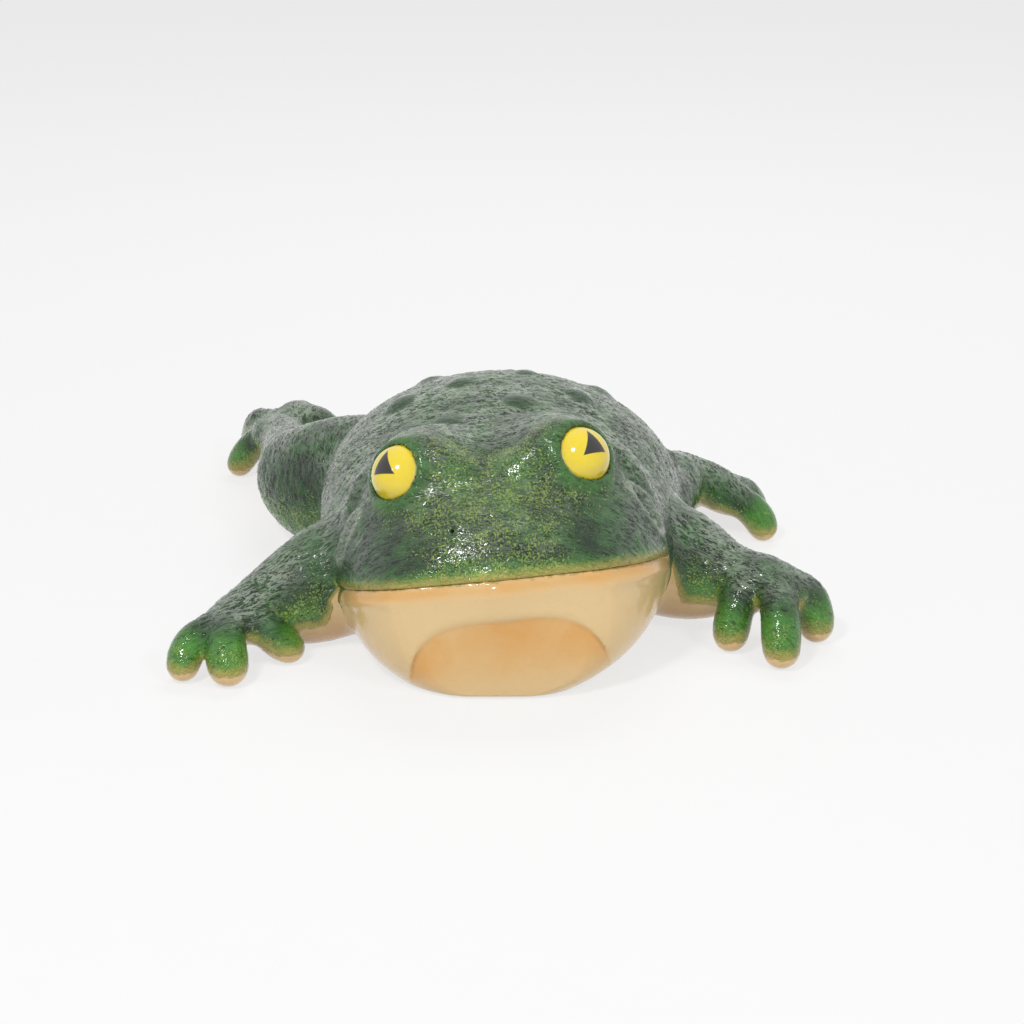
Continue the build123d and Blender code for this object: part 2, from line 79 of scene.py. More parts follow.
# Limb runs in millimetres: x, y, z, half width, half height
LIMB_RUNS = {
    "front_leg_right": (
        ((-60, -40, 44, 30, 34), (-92, -54, 40, 33, 38), (-120, -70, 33, 29, 34),
         (-147, -90, 29, 21, 21), (-164, -106, 26, 18, 13), (-172, -116, 25, 13, 9.5)),
        ((-164, -112, 24, 9, 9), (-180, -120, 25, 9.5, 9.5),
         (-190, -130, 17, 10, 10), (-192, -136, 10.5, 10, 10)),
        ((-164, -114, 25, 9.5, 9.5), (-166, -128, 25, 10.5, 10.5),
         (-165, -138, 16, 11.8, 11.5), (-164, -142, 11.5, 12, 11.5)),
        ((-158, -108, 26, 9, 9), (-146, -112, 24, 9, 9),
         (-135, -110, 14, 9.8, 9.8), (-130, -108, 10, 9.6, 9.6)),
        ((-158, -98, 25, 8.6, 8.2), (-170, -95, 23, 8.8, 8.5),
         (-179, -93, 13, 9, 9), (-181, -92.5, 9, 9, 8.8)),
    ),
    "front_leg_left": (
        ((60, -22, 46, 30, 36), (96, -34, 43, 33, 37), (122, -45, 38, 28, 33),
         (148, -60, 36, 21, 20), (168, -72, 37, 20, 16), (178, -78, 35, 15, 12)),
        ((158, -72, 37, 9.8, 9.5), (149, -82, 32, 10.4, 10.2),
         (144, -88, 18, 10.8, 10.6), (143, -90, 11, 10.8, 10.6)),
        ((168, -78, 38, 10, 9.8), (171, -94, 35, 10.8, 10.6),
         (172, -110, 20, 11.4, 11.2), (172, -116, 11.5, 11.4, 11.2)),
        ((176, -72, 36, 10, 9.8), (190, -72, 32, 10.6, 10.4),
         (197, -74, 18, 10.8, 10.6), (198, -75.5, 11, 10.8, 10.6)),
        ((174, -66, 33, 8.8, 8.5), (184, -56, 28, 9, 8.8),
         (190, -50, 14, 9.2, 9), (191, -48, 9.4, 9.2, 9)),
    ),
    "hind_leg_right": (
        ((-54, 84, 47, 45, 43), (-96, 96, 45, 46, 47), (-132, 109, 42, 33, 40), (-146, 120, 42, 25, 32)),
        ((-138, 114, 42, 24, 32), (-147, 147, 42, 23, 26), (-154, 180, 40, 19, 20),
         (-160, 212, 38, 17, 16), (-167, 238, 36, 19, 13), (-169, 252, 35, 15, 11)),
        ((-168, 240, 33, 10, 9.5), (-184, 242, 26, 10, 9.5),
         (-195, 243, 13, 9.5, 9.5), (-197, 243, 9.5, 9.5, 9.2)),
        ((-170, 248, 35, 10.5, 10), (-180, 264, 35, 11, 10.5),
         (-188, 286, 18, 11, 10.8), (-190, 292, 11, 11, 10.8)),
        ((-166, 252, 36, 10.5, 10), (-156, 272, 38, 11.5, 11),
         (-148, 298, 20, 11.5, 11), (-146, 305, 11.5, 11.5, 11)),
        ((-160, 246, 36, 10, 9.5), (-145, 266, 37, 11, 10.5),
         (-130, 284, 18, 11, 10.5), (-127, 288, 11, 11, 10.5)),
    ),
    "hind_leg_left": (
        ((48, 90, 45, 39, 38), (78, 78, 43, 36, 36), (104, 66, 40, 26, 29), (110, 61, 38, 19, 21)),
        ((101, 66, 40, 20, 24), (113, 90, 42, 23, 23),
         (120, 112, 42, 18.6, 19.2), (123, 130, 40, 15.6, 16.2)),
        ((120, 126, 40, 15.6, 15.6), (134, 125, 38, 17, 15),
         (149, 122, 33, 17, 13), (158, 119, 28, 14, 11)),
        ((154, 119, 27, 10, 9.6), (169, 113, 24, 10.4, 10),
         (180, 107, 14, 10.2, 10), (182, 105.5, 10, 10, 9.8)),
        ((154, 123, 28, 10, 9.6), (167, 132, 27, 10.2, 10),
         (176, 140, 15, 10.4, 10.2), (178, 142, 10.4, 10.4, 10.2)),
        ((148, 126, 28, 9.6, 9.3), (156, 146, 26, 9.9, 9.6),
         (162, 164, 14, 10.4, 10.2), (163, 168, 10.2, 10.4, 10)),
        ((138, 128, 29, 9.2, 8.8), (140, 150, 25, 9.3, 9),
         (140, 170, 13, 10, 9.8), (140, 174, 9.8, 10, 9.6)),
    ),
}

# Each limb's dowel: side, place along the body and height in millimetres
DOWELS = {
    "front_leg_right": (-1, -62.0, 26.0),
    "front_leg_left": (1, -42.0, 26.0),
    "hind_leg_right": (-1, 96.0, 30.0),
    "hind_leg_left": (1, 76.0, 30.0),
}

# Direction across the skin's folds on each piece
FOLD_AXES = {
    "body": (0.10, 0.86, 0.50),
    "front_leg_right": (-0.45, 0.75, 0.48),
    "front_leg_left": (0.45, 0.75, 0.48),
    "hind_leg_right": (0.92, -0.30, 0.25),
    "hind_leg_left": (0.80, 0.50, 0.30),
}


def length(label, what, default):
    """Property of one length in metres."""
    return bpy.props.FloatProperty(name=label, description=what, default=default, unit="LENGTH")


def angle(label, what, degrees):
    """Property of one angle, given in degrees."""
    default = math.radians(degrees)
    return bpy.props.FloatProperty(name=label, description=what, default=default, subtype="ANGLE")


def paint(label, what, colour):
    """Property of one paint's colour."""
    return bpy.props.FloatVectorProperty(
        name=label, description=what, size=4, subtype="COLOR", default=(*colour, 1))


class FrogSizes(bpy.types.PropertyGroup):
    """Sizes of the frog's casting and its skin"""
    body_length: length("Body length", "From snout to tail", 0.342)
    body_width: length("Body width", "Across the belly", 0.236)
    body_height: length("Body height", "From the resting plane to the back", 0.151)
    nose_reach: length("Nose reach", "From the origin to the snout", 0.174)
    head_roll: angle("Head roll", "Turn of the head to one side", 6)
    roll_height: length("Roll height", "Height of the axis that the head turns about", 0.070)
    wall: length("Wall", "Thickness of the casting", 0.008)
    mound_radius: length("Eye mound radius", "Round mound that carries an eye", 0.036)
    eye_radius: length("Eye radius", "Radius of the eye's dome", 0.019)
    wart_radius: length("Wart radius", "Radius of the largest warts' rounding", 0.024)
    fold_height: length("Fold height", "Height of the skin's wrinkles", 0.0022)
    pad_thickness: length("Pad thickness", "Thickness of the felt", 0.003)
    grid_step: length("Grid step", "Spacing of the modelling grid", 0.0015)


class FrogColours(bpy.types.PropertyGroup):
    """Paints of the frog"""
    dark_green: paint("Dark green", "Ground coat of the back", (0.012, 0.040, 0.014))
    mid_green: paint("Mid green", "Patches over the ground coat", (0.030, 0.120, 0.024))
    bright_green: paint("Bright green", "Lips, lids and finger tips", (0.085, 0.300, 0.040))
    leaf_green: paint("Leaf green", "Stippled yellow green", (0.340, 0.480, 0.090))
    # Sheen grey: dry-brush paint on raised folds together with a painted sheen where folds face up to the
    # light
    sheen_grey: paint("Sheen grey", "Dry-brushed on raised folds", (0.380, 0.440, 0.350))
    cream: paint("Cream", "Belly, throat and undersides", (0.800, 0.580, 0.290))
    # Ochre: painted shade under the lips, chin, flanks and limbs, and the cream's random tone
    ochre: paint("Ochre", "Shading of the cream", (0.760, 0.410, 0.120))
    eye_yellow: paint("Eye yellow", "Enamel of the eyes", (0.900, 0.690, 0.018))
    pupil: paint("Pupil", "Black of the pupils", (0.012, 0.010, 0.008))
    felt: paint("Felt", "Pad under the belly", (0.130, 0.070, 0.034))


class FrogStudio(bpy.types.PropertyGroup):
    """Camera and light"""
    elevation: angle("Camera elevation", "Angle above the floor", 20)
    distance: length("Camera distance", "From the point looked at", 1.600)
    view_angle: angle("View angle", "Width of the picture", 23.4957)
    look_at: bpy.props.FloatVectorProperty(
        name="Look at", description="Point in the middle of the picture",
        default=(0.007, 0.0, 0.0594), unit="LENGTH")
    key_power: bpy.props.FloatProperty(
        name="Key light", description="Power of the key light", default=16.0, unit="POWER")
    world_level: bpy.props.FloatProperty(
        name="World level", description="Strength of the light from all round", default=0.45)


# Places of the head's features on the unrolled head, in millimetres, and the eyes' angles in degrees
MOUND_OUT, MOUND_Y, MOUND_HEIGHT, MOUND_FILLET = 39.0, -89.0, 114.0, 13.0
EYE_TURN, EYE_LIFT = 42.0, 31.0
EYE_SET_OUT, EYE_BACK, EYE_PLAY = 24.5, 4.0, 0.1
EYE_RIM_RADIUS, EYE_RIM_OUT, EYE_RIM_THICKNESS, EYE_RIM_FILLET, SOCKET_MARGIN = 19.2, 30.0, 2.6, 4.5, 12.0
NOSTRIL_OUT, NOSTRIL_Y, NOSTRIL_HEIGHT = 20.0, -143.0, 102.75
NOSTRIL_RADIUS, NOSTRIL_BORE, NOSTRIL_FILLET = 8.5, 3.6, 7.0
NOSTRIL_BORE_SHARES = (0.45, -0.85, 0.15)
MOUTH_FRONT_HEIGHT, MOUTH_CORNER_HEIGHT, MOUTH_CORNER_Y = 80.0, 52.0, -84.0
REAR_SEAM_HEIGHT, SEAM_OVERRUN, LIP_FADE = 84.0, 30.0, 12.0
# Lips as bells below the mouth line: height, middle and spread
LIP_BELLS = ((1.5, 9, 3.4), (-1.9, 1.2, 1.5), (0.8, -4, 4))
# Throat crease: an arch over the chin, the hollow under it and the fold above it
THROAT_HALF_WIDTH, THROAT_SIDE_HEIGHT, THROAT_RISE, THROAT_POWER = 60.0, 4.0, 51.0, 2.8
THROAT_DEPTH, THROAT_EDGE, THROAT_FILL_SHARE, THROAT_FILL = 4.5, (-1.5, 3.5), 0.9, (6, 46)
THROAT_FOLD, THROAT_FOLD_AT, THROAT_LEVELS, THROAT_REACH = 1.2, (-3.5, 3.5), (6, 44), (104, 122)
# Ear patches: a raised rim round a shallow hollow
EAR_Y, EAR_HEIGHT, EAR_HALF_LENGTH, EAR_HALF_HEIGHT = -98.0, 88.0, 9.0, 17.0
EAR_RIM, EAR_HOLLOW, EAR_RIM_SPREAD, EAR_HOLLOW_SHARES, EAR_SIDE = 2.2, 1.8, 0.2, (0.45, 0.9), (55, 70)
# Ridges of the head: out, y, height and radius
FOLD_BEHIND_EYE = ((58, -80, 127, 8), (76, -76, 115, 8), (86, -76, 96, 7), (90, -78, 72, 6))
BROW_RIDGE = ((10, -114, 124, 8), (24, -112, 131, 8), (38, -104, 140, 8), (52, -92, 136, 8))
RIDGE_FILLET = 8.0
WART_PROUD_SHARE, WART_FILLET = 0.12, 1.6
# Wart over the seam peg on the left flank
PEG_COVER = ((111.9, 38.0, 71.5, 3.4, 3.4), (111.9, 38.0, 78.0, 3.4, 3.4), (111.7, 38.0, 84.2, 3.4, 3.4))

# Joints between castings and the modelling grid, in millimetres
FAR = 60.0
LEAST_REACH = 0.6
SNOUT_WALL, SNOUT_ROUNDING, SNOUT_FADE = 16.0, 7.0, (132, 150)
BOX_MARGIN, LIMB_MARGIN, RUN_MARGIN, CARVE_MARGIN = 9.0, 26.0, 2.0, 4.0
GRID_SIDE_MARGIN, GRID_END_MARGIN, GRID_FLOOR, GRID_TOP = 12.0, 6.0, -3.0, 168.0
DIGIT_FILLET, SHOULDER_FILLET, RUN_FILLET, CARVE_FILLET = 5.0, 12.0, 3.0, 2.0
SEAT_DEPTH, SEAT_GAP = 4.0, 0.2
LAP, LAP_EDGE, LAP_SINK, LAP_LEAD = 2.0, (1.5, 3.0), 0.35, 14.0
DOWEL_RADIUS, DOWEL_LENGTH, DOWEL_IN_LIMB, DOWEL_PLAY = 4.0, 44.0, 20.0, 0.15
BOSS_RADIUS, BOSS_SINK = 9.0, 1.0

# Seats under the belly, in millimetres
PAD_RISE, FLOOR_WALL = 1.5, 10.0
PAD_LENGTH, PAD_WIDTH = 236.0, 116.0
PLATE_LENGTH, PLATE_WIDTH, PLATE_THICKNESS, PLATE_LEDGE = 204.0, 92.0, 4.0, 7.0
SEAT_PLAY, BASE_Y = 0.2, -18.0

# Sections of the body: rounder above the belt than below it, and how densely stations follow it
UPPER_POWER, LOWER_POWER, BODY_STATIONS = 2.0, 2.5, 600
# Where the slope along the body stops counting, and the least slope
LENGTHWISE_FADE, LEAST_SLOPE = (1.25, 2.0), 1e-3


def smooth_through(knots, values, places):
    """Natural cubic curve through values at knots, read at places."""
    gaps = np.diff(knots)
    count = len(knots)
    system = np.eye(count)
    target = np.zeros_like(values)
    slopes = np.diff(values, axis=0) / gaps[:, None]
    for row in range(1, count - 1):
        system[row, row - 1:row + 2] = gaps[row - 1], 2 * (gaps[row - 1] + gaps[row]), gaps[row]
        target[row] = 6 * (slopes[row] - slopes[row - 1])
    bend = np.linalg.solve(system, target)
    index = np.clip(np.searchsorted(knots, places) - 1, 0, count - 2)
    gap = gaps[index, None]
    after = (places - knots[index])[:, None] / gap
    before = 1 - after
    curve = before * values[index] + after * values[index + 1]
    return curve + ((before**3 - before) * bend[index] + (after**3 - after) * bend[index + 1]) * gap**2 / 6


def ease(value, low, high):
    """Smooth step from zero at low to one at high."""
    share = np.clip((value - low) / (high - low), 0, 1)
    return share * share * (3 - 2 * share)


def bump(value, middle, spread):
    """Bell of height one about a middle."""
    return np.exp(-((value - middle) / spread) ** 2)


def melt(one, other, reach):
    """Union of two distances with a fillet of the given reach."""
    overlap = np.maximum(reach - np.abs(one - other), 0) / reach
    return np.minimum(one, other) - overlap * overlap * reach / 4


def dense(stations):
    """Run of a limb as a smooth chain of closely spaced stations."""
    rows = np.array(stations, float)
    knots = np.concatenate([[0], np.cumsum(np.linalg.norm(np.diff(rows[:, :3], axis=0), axis=1))])
    return smooth_through(knots, rows, np.linspace(0, knots[-1], 3 * len(rows) - 2))


def spread(axes):
    """Three axes shaped to fill a grid."""
    return axes[0][:, None, None], axes[1][None, :, None], axes[2][None, None, :]


def window(axes, low, high):
    """Slices of the axes that a box covers, and the places in it."""
    part = tuple(slice(*np.searchsorted(axis, ends)) for axis, *ends in zip(axes, low, high))
    return part, *spread([axis[cut] for axis, cut in zip(axes, part)])


def run_window(axes, rows, margin):
    """Window round a run, with a margin beyond its thickest place."""
    margin = rows[:, 3:].max() + margin
    return window(axes, rows[:, :3].min(0) - margin, rows[:, :3].max(0) + margin)


def ball_gap(x, y, z, centre, radius):
    """Distance from a ball."""
    return np.sqrt((x - centre[0]) ** 2 + (y - centre[1]) ** 2 + (z - centre[2]) ** 2) - radius


def melt_ball(field, axes, centre, radius, reach):
    """Melts a ball into a field."""
    part, x, y, z = window(axes, centre - radius - reach, centre + radius + reach)
    field[part] = melt(field[part], ball_gap(x, y, z, centre, radius), reach)


def carve_ball(field, axes, centre, radius):
    """Cuts a ball out of a field."""
    reach = radius + CARVE_MARGIN
    part, x, y, z = window(axes, centre - reach, centre + reach)
    field[part] = -melt(-field[part], ball_gap(x, y, z, centre, radius), CARVE_FILLET)


def melt_run(field, axes, rows, reach):
    """Melts a run into a field."""
    part, x, y, z = run_window(axes, rows, reach + RUN_MARGIN)
    field[part] = melt(field[part], run_distance(rows, x, y, z), reach)


def from_axis(x, y, z, start, heading):
    """Place along an axis, and distance from it."""
    x, y, z = x - start[0], y - start[1], z - start[2]
    out = x * heading[0] + y * heading[1] + z * heading[2]
    return out, np.sqrt(np.maximum(x**2 + y**2 + z**2 - out**2, 0))


def run_distance(rows, x, y, z):
    """Distance from a tapering run with flattened sections."""
    nearest = None
    for head, tail in zip(rows, rows[1:]):
        step = tail[:3] - head[:3]
        along = (x - head[0]) * step[0] + (y - head[1]) * step[1] + (z - head[2]) * step[2]
        share = np.clip(along / (step @ step), 0, 1)
        wide = head[3] + share * (tail[3] - head[3])
        high = head[4] + share * (tail[4] - head[4])
        flat = wide / high
        level = (x - head[0] - share * step[0]) ** 2 + (y - head[1] - share * step[1]) ** 2
        upright = ((z - head[2] - share * step[2]) * flat) ** 2
        gap = (np.sqrt(level + upright) - wide) / np.maximum(flat, 1)
        nearest = gap if nearest is None else melt(nearest, gap, RUN_FILLET)
    return nearest


def throat_place(side, level):
    """How far a place lies below the arch of the throat crease."""
    share = np.clip(side / THROAT_HALF_WIDTH, 0, 1)
    return THROAT_SIDE_HEIGHT + THROAT_RISE * (1 - share**THROAT_POWER) ** (1 / THROAT_POWER) - level


def ear_place(y, level):
    """Distance from the middle of an ear patch, as a share of its size."""
    return np.sqrt(((y - EAR_Y) / EAR_HALF_LENGTH) ** 2 + ((level - EAR_HEIGHT) / EAR_HALF_HEIGHT) ** 2)


class Form:
    """Distances of the frog's parts, in millimetres, from the sizes."""

    def __init__(self, sizes):
        self.length = sizes.body_length / MM
        self.half_width = sizes.body_width / MM / 2
        self.height = sizes.body_height / MM
        self.nose = sizes.nose_reach / MM
        self.roll = sizes.head_roll
        self.step = sizes.grid_step / MM
        for key in ("roll_height", "wall", "mound_radius", "eye_radius", "wart_radius", "pad_thickness"):
            setattr(self, key, getattr(sizes, key) / MM)
        rows = np.array(BODY_SHARES) * (self.length, self.half_width, *(self.height,) * 3, 1)
        rows[:, 0] -= self.nose
        knots = np.concatenate([[0], np.cumsum(np.hypot(*np.diff(rows[:, :2], axis=0).T))])
        self.stations = smooth_through(knots, rows, np.linspace(0, knots[-1], BODY_STATIONS))
        self.stations[:, 0] = np.maximum.accumulate(self.stations[:, 0])
        self.runs = {name: [dense(run) for run in runs] for name, runs in LIMB_RUNS.items()}

    def head_point(self, out, y, height):
        """Point fixed to the rolled head."""
        up = height - self.roll_height
        turn, tilt = math.cos(self.roll), math.sin(self.roll)
        return np.array((out * turn - up * tilt, y, out * tilt + up * turn + self.roll_height))

    def head_run(self, side, path):
        """Run along the rolled head, from rows of out, y, height and radius."""
        return dense([
            (*self.head_point(side * out, y, height), radius, radius) for out, y, height, radius in path
        ])

    def eye_axes(self, side):
        """Centre of the eye mound, and the eye's heading, axis towards the snout and upright axis."""
        turn, lift = math.radians(EYE_TURN) * side, math.radians(EYE_LIFT)
        x, y, z = math.sin(turn) * math.cos(lift), -math.cos(turn) * math.cos(lift), math.sin(lift)
        tilt, cosine = math.sin(self.roll), math.cos(self.roll)
        heading = np.array((x * cosine - z * tilt, y, x * tilt + z * cosine))
        upright = np.array((-tilt, 0, cosine))
        upright -= heading * (upright @ heading)
        upright /= np.linalg.norm(upright)
        fore = np.cross(heading, upright)
        fore *= -np.sign(fore[1])
        return self.head_point(side * MOUND_OUT, MOUND_Y, MOUND_HEIGHT), heading, fore, upright

    def body_frame(self, x, y, z):
        """Station values at y, and place across and level in the turned section."""
        wide, top, belt, bottom, share = (
            np.interp(y, self.stations[:, 0], column) for column in self.stations[:, 1:].T
        )
        lean = self.roll * share
        up = z - self.roll_height
        across = x * np.cos(lean) + up * np.sin(lean)
        level = up * np.cos(lean) - x * np.sin(lean) + self.roll_height
        return np.maximum(wide, LEAST_REACH), top, belt, bottom, across, level

    def mouth_drop(self, y, level):
        """How far a place lies below the mouth line and the seam behind it."""
        places = -self.nose, MOUTH_CORNER_Y, self.length - self.nose + SEAM_OVERRUN
        return np.interp(y, places, (MOUTH_FRONT_HEIGHT, MOUTH_CORNER_HEIGHT, REAR_SEAM_HEIGHT)) - level

    def plain_body(self, x, y, z):
        """Distance from the smooth body form, on a grid, and the places in its sections."""
        wide, top, belt, bottom, across, level = self.body_frame(x, y, z)
        above = level >= belt
        rise = np.maximum(np.where(above, top - belt, belt - bottom), LEAST_REACH)
        power = np.where(above, UPPER_POWER, LOWER_POWER).astype(np.float32)
        ratio = (np.abs(across / wide) ** power + np.abs((level - belt) / rise) ** power) ** (1 / power)
        slopes = np.gradient(ratio.astype(np.float32), self.step)
        flat = np.hypot(slopes[0], slopes[2])
        steep = np.hypot(flat, slopes[1] * (1 - ease(ratio, *LENGTHWISE_FADE)))
        gap = (ratio - 1) / np.maximum(steep, LEAST_SLOPE)
        beyond = np.maximum(np.maximum(-self.nose - y, y - self.length + self.nose), 0)
        gap = np.where(beyond > 0, np.hypot(np.maximum(gap, 0), beyond), gap)
        return np.clip(gap, -FAR, FAR).astype(np.float32), across, level

    def rounded(self, field, y):
        """Field with its creases around the snout rounded off."""
        soft = field
        reach = round(SNOUT_ROUNDING / self.step)
        for axis, count in enumerate(field.shape):
            margin = [(reach, reach) if other == axis else (0, 0) for other in range(3)]
            wide = np.pad(soft, margin, mode="edge")
            shifts = range(2 * reach + 1)
            soft = sum(wide.take(range(shift, shift + count), axis) for shift in shifts) / len(shifts)
        return field + (soft - field) * ease(-y, *SNOUT_FADE)

    def crown_point(self, across, along):
        """Place on the back, and the direction out of it, from shares."""
        y = self.length * along - self.nose
        wide, top, belt, _, _, _ = self.body_frame(0.0, y, self.roll_height)
        x = self.half_width * across
        rise = top - belt
        lift = (1 - (x / wide) ** 2) ** 0.5
        out = np.array((x / wide**2, 0, lift / rise))
        return np.array((x, y, belt + rise * lift)), out / np.linalg.norm(out)

    def warts(self):
        """Centre and radius of the ball under each wart."""
        for across, along, size in WART_SHARES:
            place, out = self.crown_point(across, along)
            radius = self.wart_radius * size
            yield place - out * radius * (1 - WART_PROUD_SHARE), radius

    def dressed_body(self, axes):
        """Distance from the body with its head features and warts, and from the plain body."""
        x, y, z = spread(axes)
        plain, across, level = self.plain_body(x, y, z)
        plain = self.rounded(plain, y)
        drop, side = self.mouth_drop(y, level), np.abs(across)
        lips = sum(height * bump(drop, middle, width) for height, middle, width in LIP_BELLS)
        body = plain - ease(-y, -MOUTH_CORNER_Y, LIP_FADE - MOUTH_CORNER_Y) * lips
        below = throat_place(side, level)
        filled = 1 - THROAT_FILL_SHARE * ease(below, *THROAT_FILL)
        crease = THROAT_DEPTH * ease(below, *THROAT_EDGE) * filled
        crease = crease - THROAT_FOLD * bump(below, *THROAT_FOLD_AT)
        body = body + ease(level, *THROAT_LEVELS) * ease(-y, *THROAT_REACH) * crease
        oval = ear_place(y, level)
        ear = EAR_RIM * bump(oval, 1, EAR_RIM_SPREAD) - EAR_HOLLOW * (1 - ease(oval, *EAR_HOLLOW_SHARES))
        body = body - ear * ease(side, *EAR_SIDE)
        for sign in (-1, 1):
            mound, heading, _, _ = self.eye_axes(sign)
            melt_ball(body, axes, mound, self.mound_radius, MOUND_FILLET)
            for path in (FOLD_BEHIND_EYE, BROW_RIDGE):
                melt_run(body, axes, self.head_run(sign, path), RIDGE_FILLET)
            nostril = self.head_point(sign * NOSTRIL_OUT, NOSTRIL_Y, NOSTRIL_HEIGHT)
            melt_ball(body, axes, nostril, NOSTRIL_RADIUS, NOSTRIL_FILLET)
            bore = nostril + np.array(NOSTRIL_BORE_SHARES) * (sign, 1, 1) * NOSTRIL_RADIUS
            carve_ball(body, axes, bore, NOSTRIL_BORE / 2)
            self.eye_socket(body, axes, mound, heading)
        for centre, radius in self.warts():
            melt_ball(body, axes, centre, radius, WART_FILLET)
        melt_run(body, axes, dense(PEG_COVER), RIDGE_FILLET)
        return body.astype(np.float32), plain

    def eye_socket(self, field, axes, mound, heading):
        """Raises the rim of an eye on a field and cuts the eye's seat."""
        reach = self.eye_radius + SOCKET_MARGIN
        centre = mound + heading * EYE_SET_OUT
        part, x, y, z = window(axes, centre - reach, centre + reach)
        out, around = from_axis(x, y, z, mound, heading)
        rim = np.hypot(around - EYE_RIM_RADIUS, out - EYE_RIM_OUT) - EYE_RIM_THICKNESS
        seat = np.sqrt(around**2 + (out - EYE_SET_OUT) ** 2) - self.eye_radius - EYE_PLAY
        seat = np.maximum(seat, EYE_SET_OUT - EYE_BACK - EYE_PLAY - out)
        field[part] = np.maximum(melt(field[part], rim, EYE_RIM_FILLET), -seat)

    def limb(self, name, axes):
        """Distance from one limb on a grid, far away outside its own box."""
        field = np.full([len(axis) for axis in axes], FAR, np.float32)
        for rows in self.runs[name]:
            part, x, y, z = run_window(axes, rows, LIMB_MARGIN)
            if min(x.size, y.size, z.size):
                field[part] = melt(field[part], run_distance(rows, x, y, z), DIGIT_FILLET)
        return field


def grid(low, high, step):
    """Evenly spaced places over a box, all on one common lattice."""
    return [
        (np.arange(math.floor(a / step), math.ceil(b / step) + 1) * step).astype(np.float32)
        for a, b in zip(low, high)
    ]


def skin_of(field, axes):
    """Corners and quads of the closed surface where a field is zero."""
    inside = field < 0
    counts = sum(
        inside[a:a - 1 or None, b:b - 1 or None, c:c - 1 or None].astype(np.int8)
        for a in (0, 1) for b in (0, 1) for c in (0, 1)
    )
    cells = np.argwhere((counts > 0) & (counts < 8))
    number = np.full(counts.shape, -1, np.int32)
    number[tuple(cells.T)] = np.arange(len(cells))
    total = np.zeros((len(cells), 3))
    crossings = np.zeros(len(cells))
    for axis in range(3):
        others = [other for other in range(3) if other != axis]
        for a in (0, 1):
            for b in (0, 1):
                start = cells.copy()
                start[:, others[0]] += a
                start[:, others[1]] += b
                end = start.copy()
                end[:, axis] += 1
                low, high = field[tuple(start.T)], field[tuple(end.T)]
                crossed = (low < 0) != (high < 0)
                share = np.where(crossed, low / np.where(crossed, low - high, 1), 0)
                place = (start - cells).astype(float)
                place[:, axis] += share
                total[crossed] += place[crossed]
                crossings += crossed
    local = cells + total / crossings[:, None]
    step = axes[0][1] - axes[0][0]
    corners = local * step + [axis[0] for axis in axes]
    quads = []
    for axis in range(3):
        one, two = (axis + 1) % 3, (axis + 2) % 3
        edge = np.diff(inside.astype(np.int8), axis=axis)
        for sign in (-1, 1):
            at = np.argwhere(edge == sign)
            ring = []
            for back_one, back_two in ((1, 1), (0, 1), (0, 0), (1, 0)):
                cell = at.copy()
                cell[:, one] -= back_one
                cell[:, two] -= back_two
                ring.append(number[tuple(cell.T)])
            quads.append(np.stack(ring if sign < 0 else ring[::-1], axis=1))
    return corners, np.concatenate(quads)


def read(field, axes, places):
    """Value of a field at scattered places."""
    step = axes[0][1] - axes[0][0]
    local = (places - [axis[0] for axis in axes]) / step
    low = np.clip(np.floor(local).astype(int), 0, np.array(field.shape) - 2)
    share = np.clip(local - low, 0, 1)
    value = 0
    for a in (0, 1):
        for b in (0, 1):
            for c in (0, 1):
                weight = np.prod(np.where((a, b, c), share, 1 - share), axis=1)
                value = value + weight * field[low[:, 0] + a, low[:, 1] + b, low[:, 2] + c]
    return value


# Rounds of evening out, and the least square of a slope that counts
SETTLING_ROUNDS, LEAST_SQUARE = 2, 0.2


def settled(corners, quads, field, axes):
    """Corners evened out over the surface and set back on it."""
    step = axes[0][1] - axes[0][0]
    for _ in range(SETTLING_ROUNDS):
        total = np.zeros_like(corners)
        count = np.zeros(len(corners))
        for index in range(4):
            for other in (index - 1, (index + 1) % 4):
                np.add.at(total, quads[:, index], corners[quads[:, other]])
                np.add.at(count, quads[:, index], 1)
        moved = total / count[:, None]
        slope = np.stack([
            read(field, axes, moved + offset) - read(field, axes, moved - offset)
            for offset in np.eye(3) * step / 2
        ], axis=1) / step
        value = read(field, axes, moved)
        size = np.maximum((slope**2).sum(1), LEAST_SQUARE)
        shift = slope * (value / size)[:, None]
        corners = moved - np.clip(shift, -step / 2, step / 2)
    return corners


def placed(name, data):
    """New object in the scene."""
    made = bpy.data.objects.new(name, data)
    bpy.context.scene.collection.objects.link(made)
    return made


def mesh_of(name, corners, quads):
    """Smooth-shaded object in metres from corners in millimetres."""
    mesh = bpy.data.meshes.new(name)
    mesh.vertices.add(len(corners))
    mesh.vertices.foreach_set("co", (corners * MM).astype(np.float32).ravel())
    mesh.loops.add(quads.size)
    mesh.loops.foreach_set("vertex_index", quads.astype(np.int32).ravel())
    mesh.polygons.add(len(quads))
    mesh.polygons.foreach_set("loop_start", np.arange(0, quads.size, 4, dtype=np.int32))
    mesh.polygons.foreach_set("use_smooth", np.ones(len(quads), bool))
    mesh.update(calc_edges=True)
    mesh.validate()
    return placed(name, mesh)


def skin_piece(name, field, axes):
    """Object over the surface of a field, its corners in millimetres and its normals."""
    corners, quads = skin_of(field, axes)
    corners = settled(corners, quads, field, axes)
    corners[:, 2] = np.maximum(corners[:, 2], 0)
    piece = mesh_of(name, corners, quads)
    normals = np.zeros(len(corners) * 3, np.float32)
    piece.data.vertex_normals.foreach_get("vector", normals)
    return piece, corners, normals.reshape(-1, 3)


def set_field(mesh, name, values):
    """Stores one value for each corner of a mesh."""
    kind = "FLOAT" if values.ndim == 1 else "FLOAT_VECTOR"
    layer = mesh.attributes.new(name, kind, "POINT")
    layer.data.foreach_set("value" if values.ndim == 1 else "vector", values.astype(np.float32).ravel())


# Lengths of the skin's folds across and along them, in millimetres
FOLD_LONG, FOLD_SHORT = 15.0, 4.2


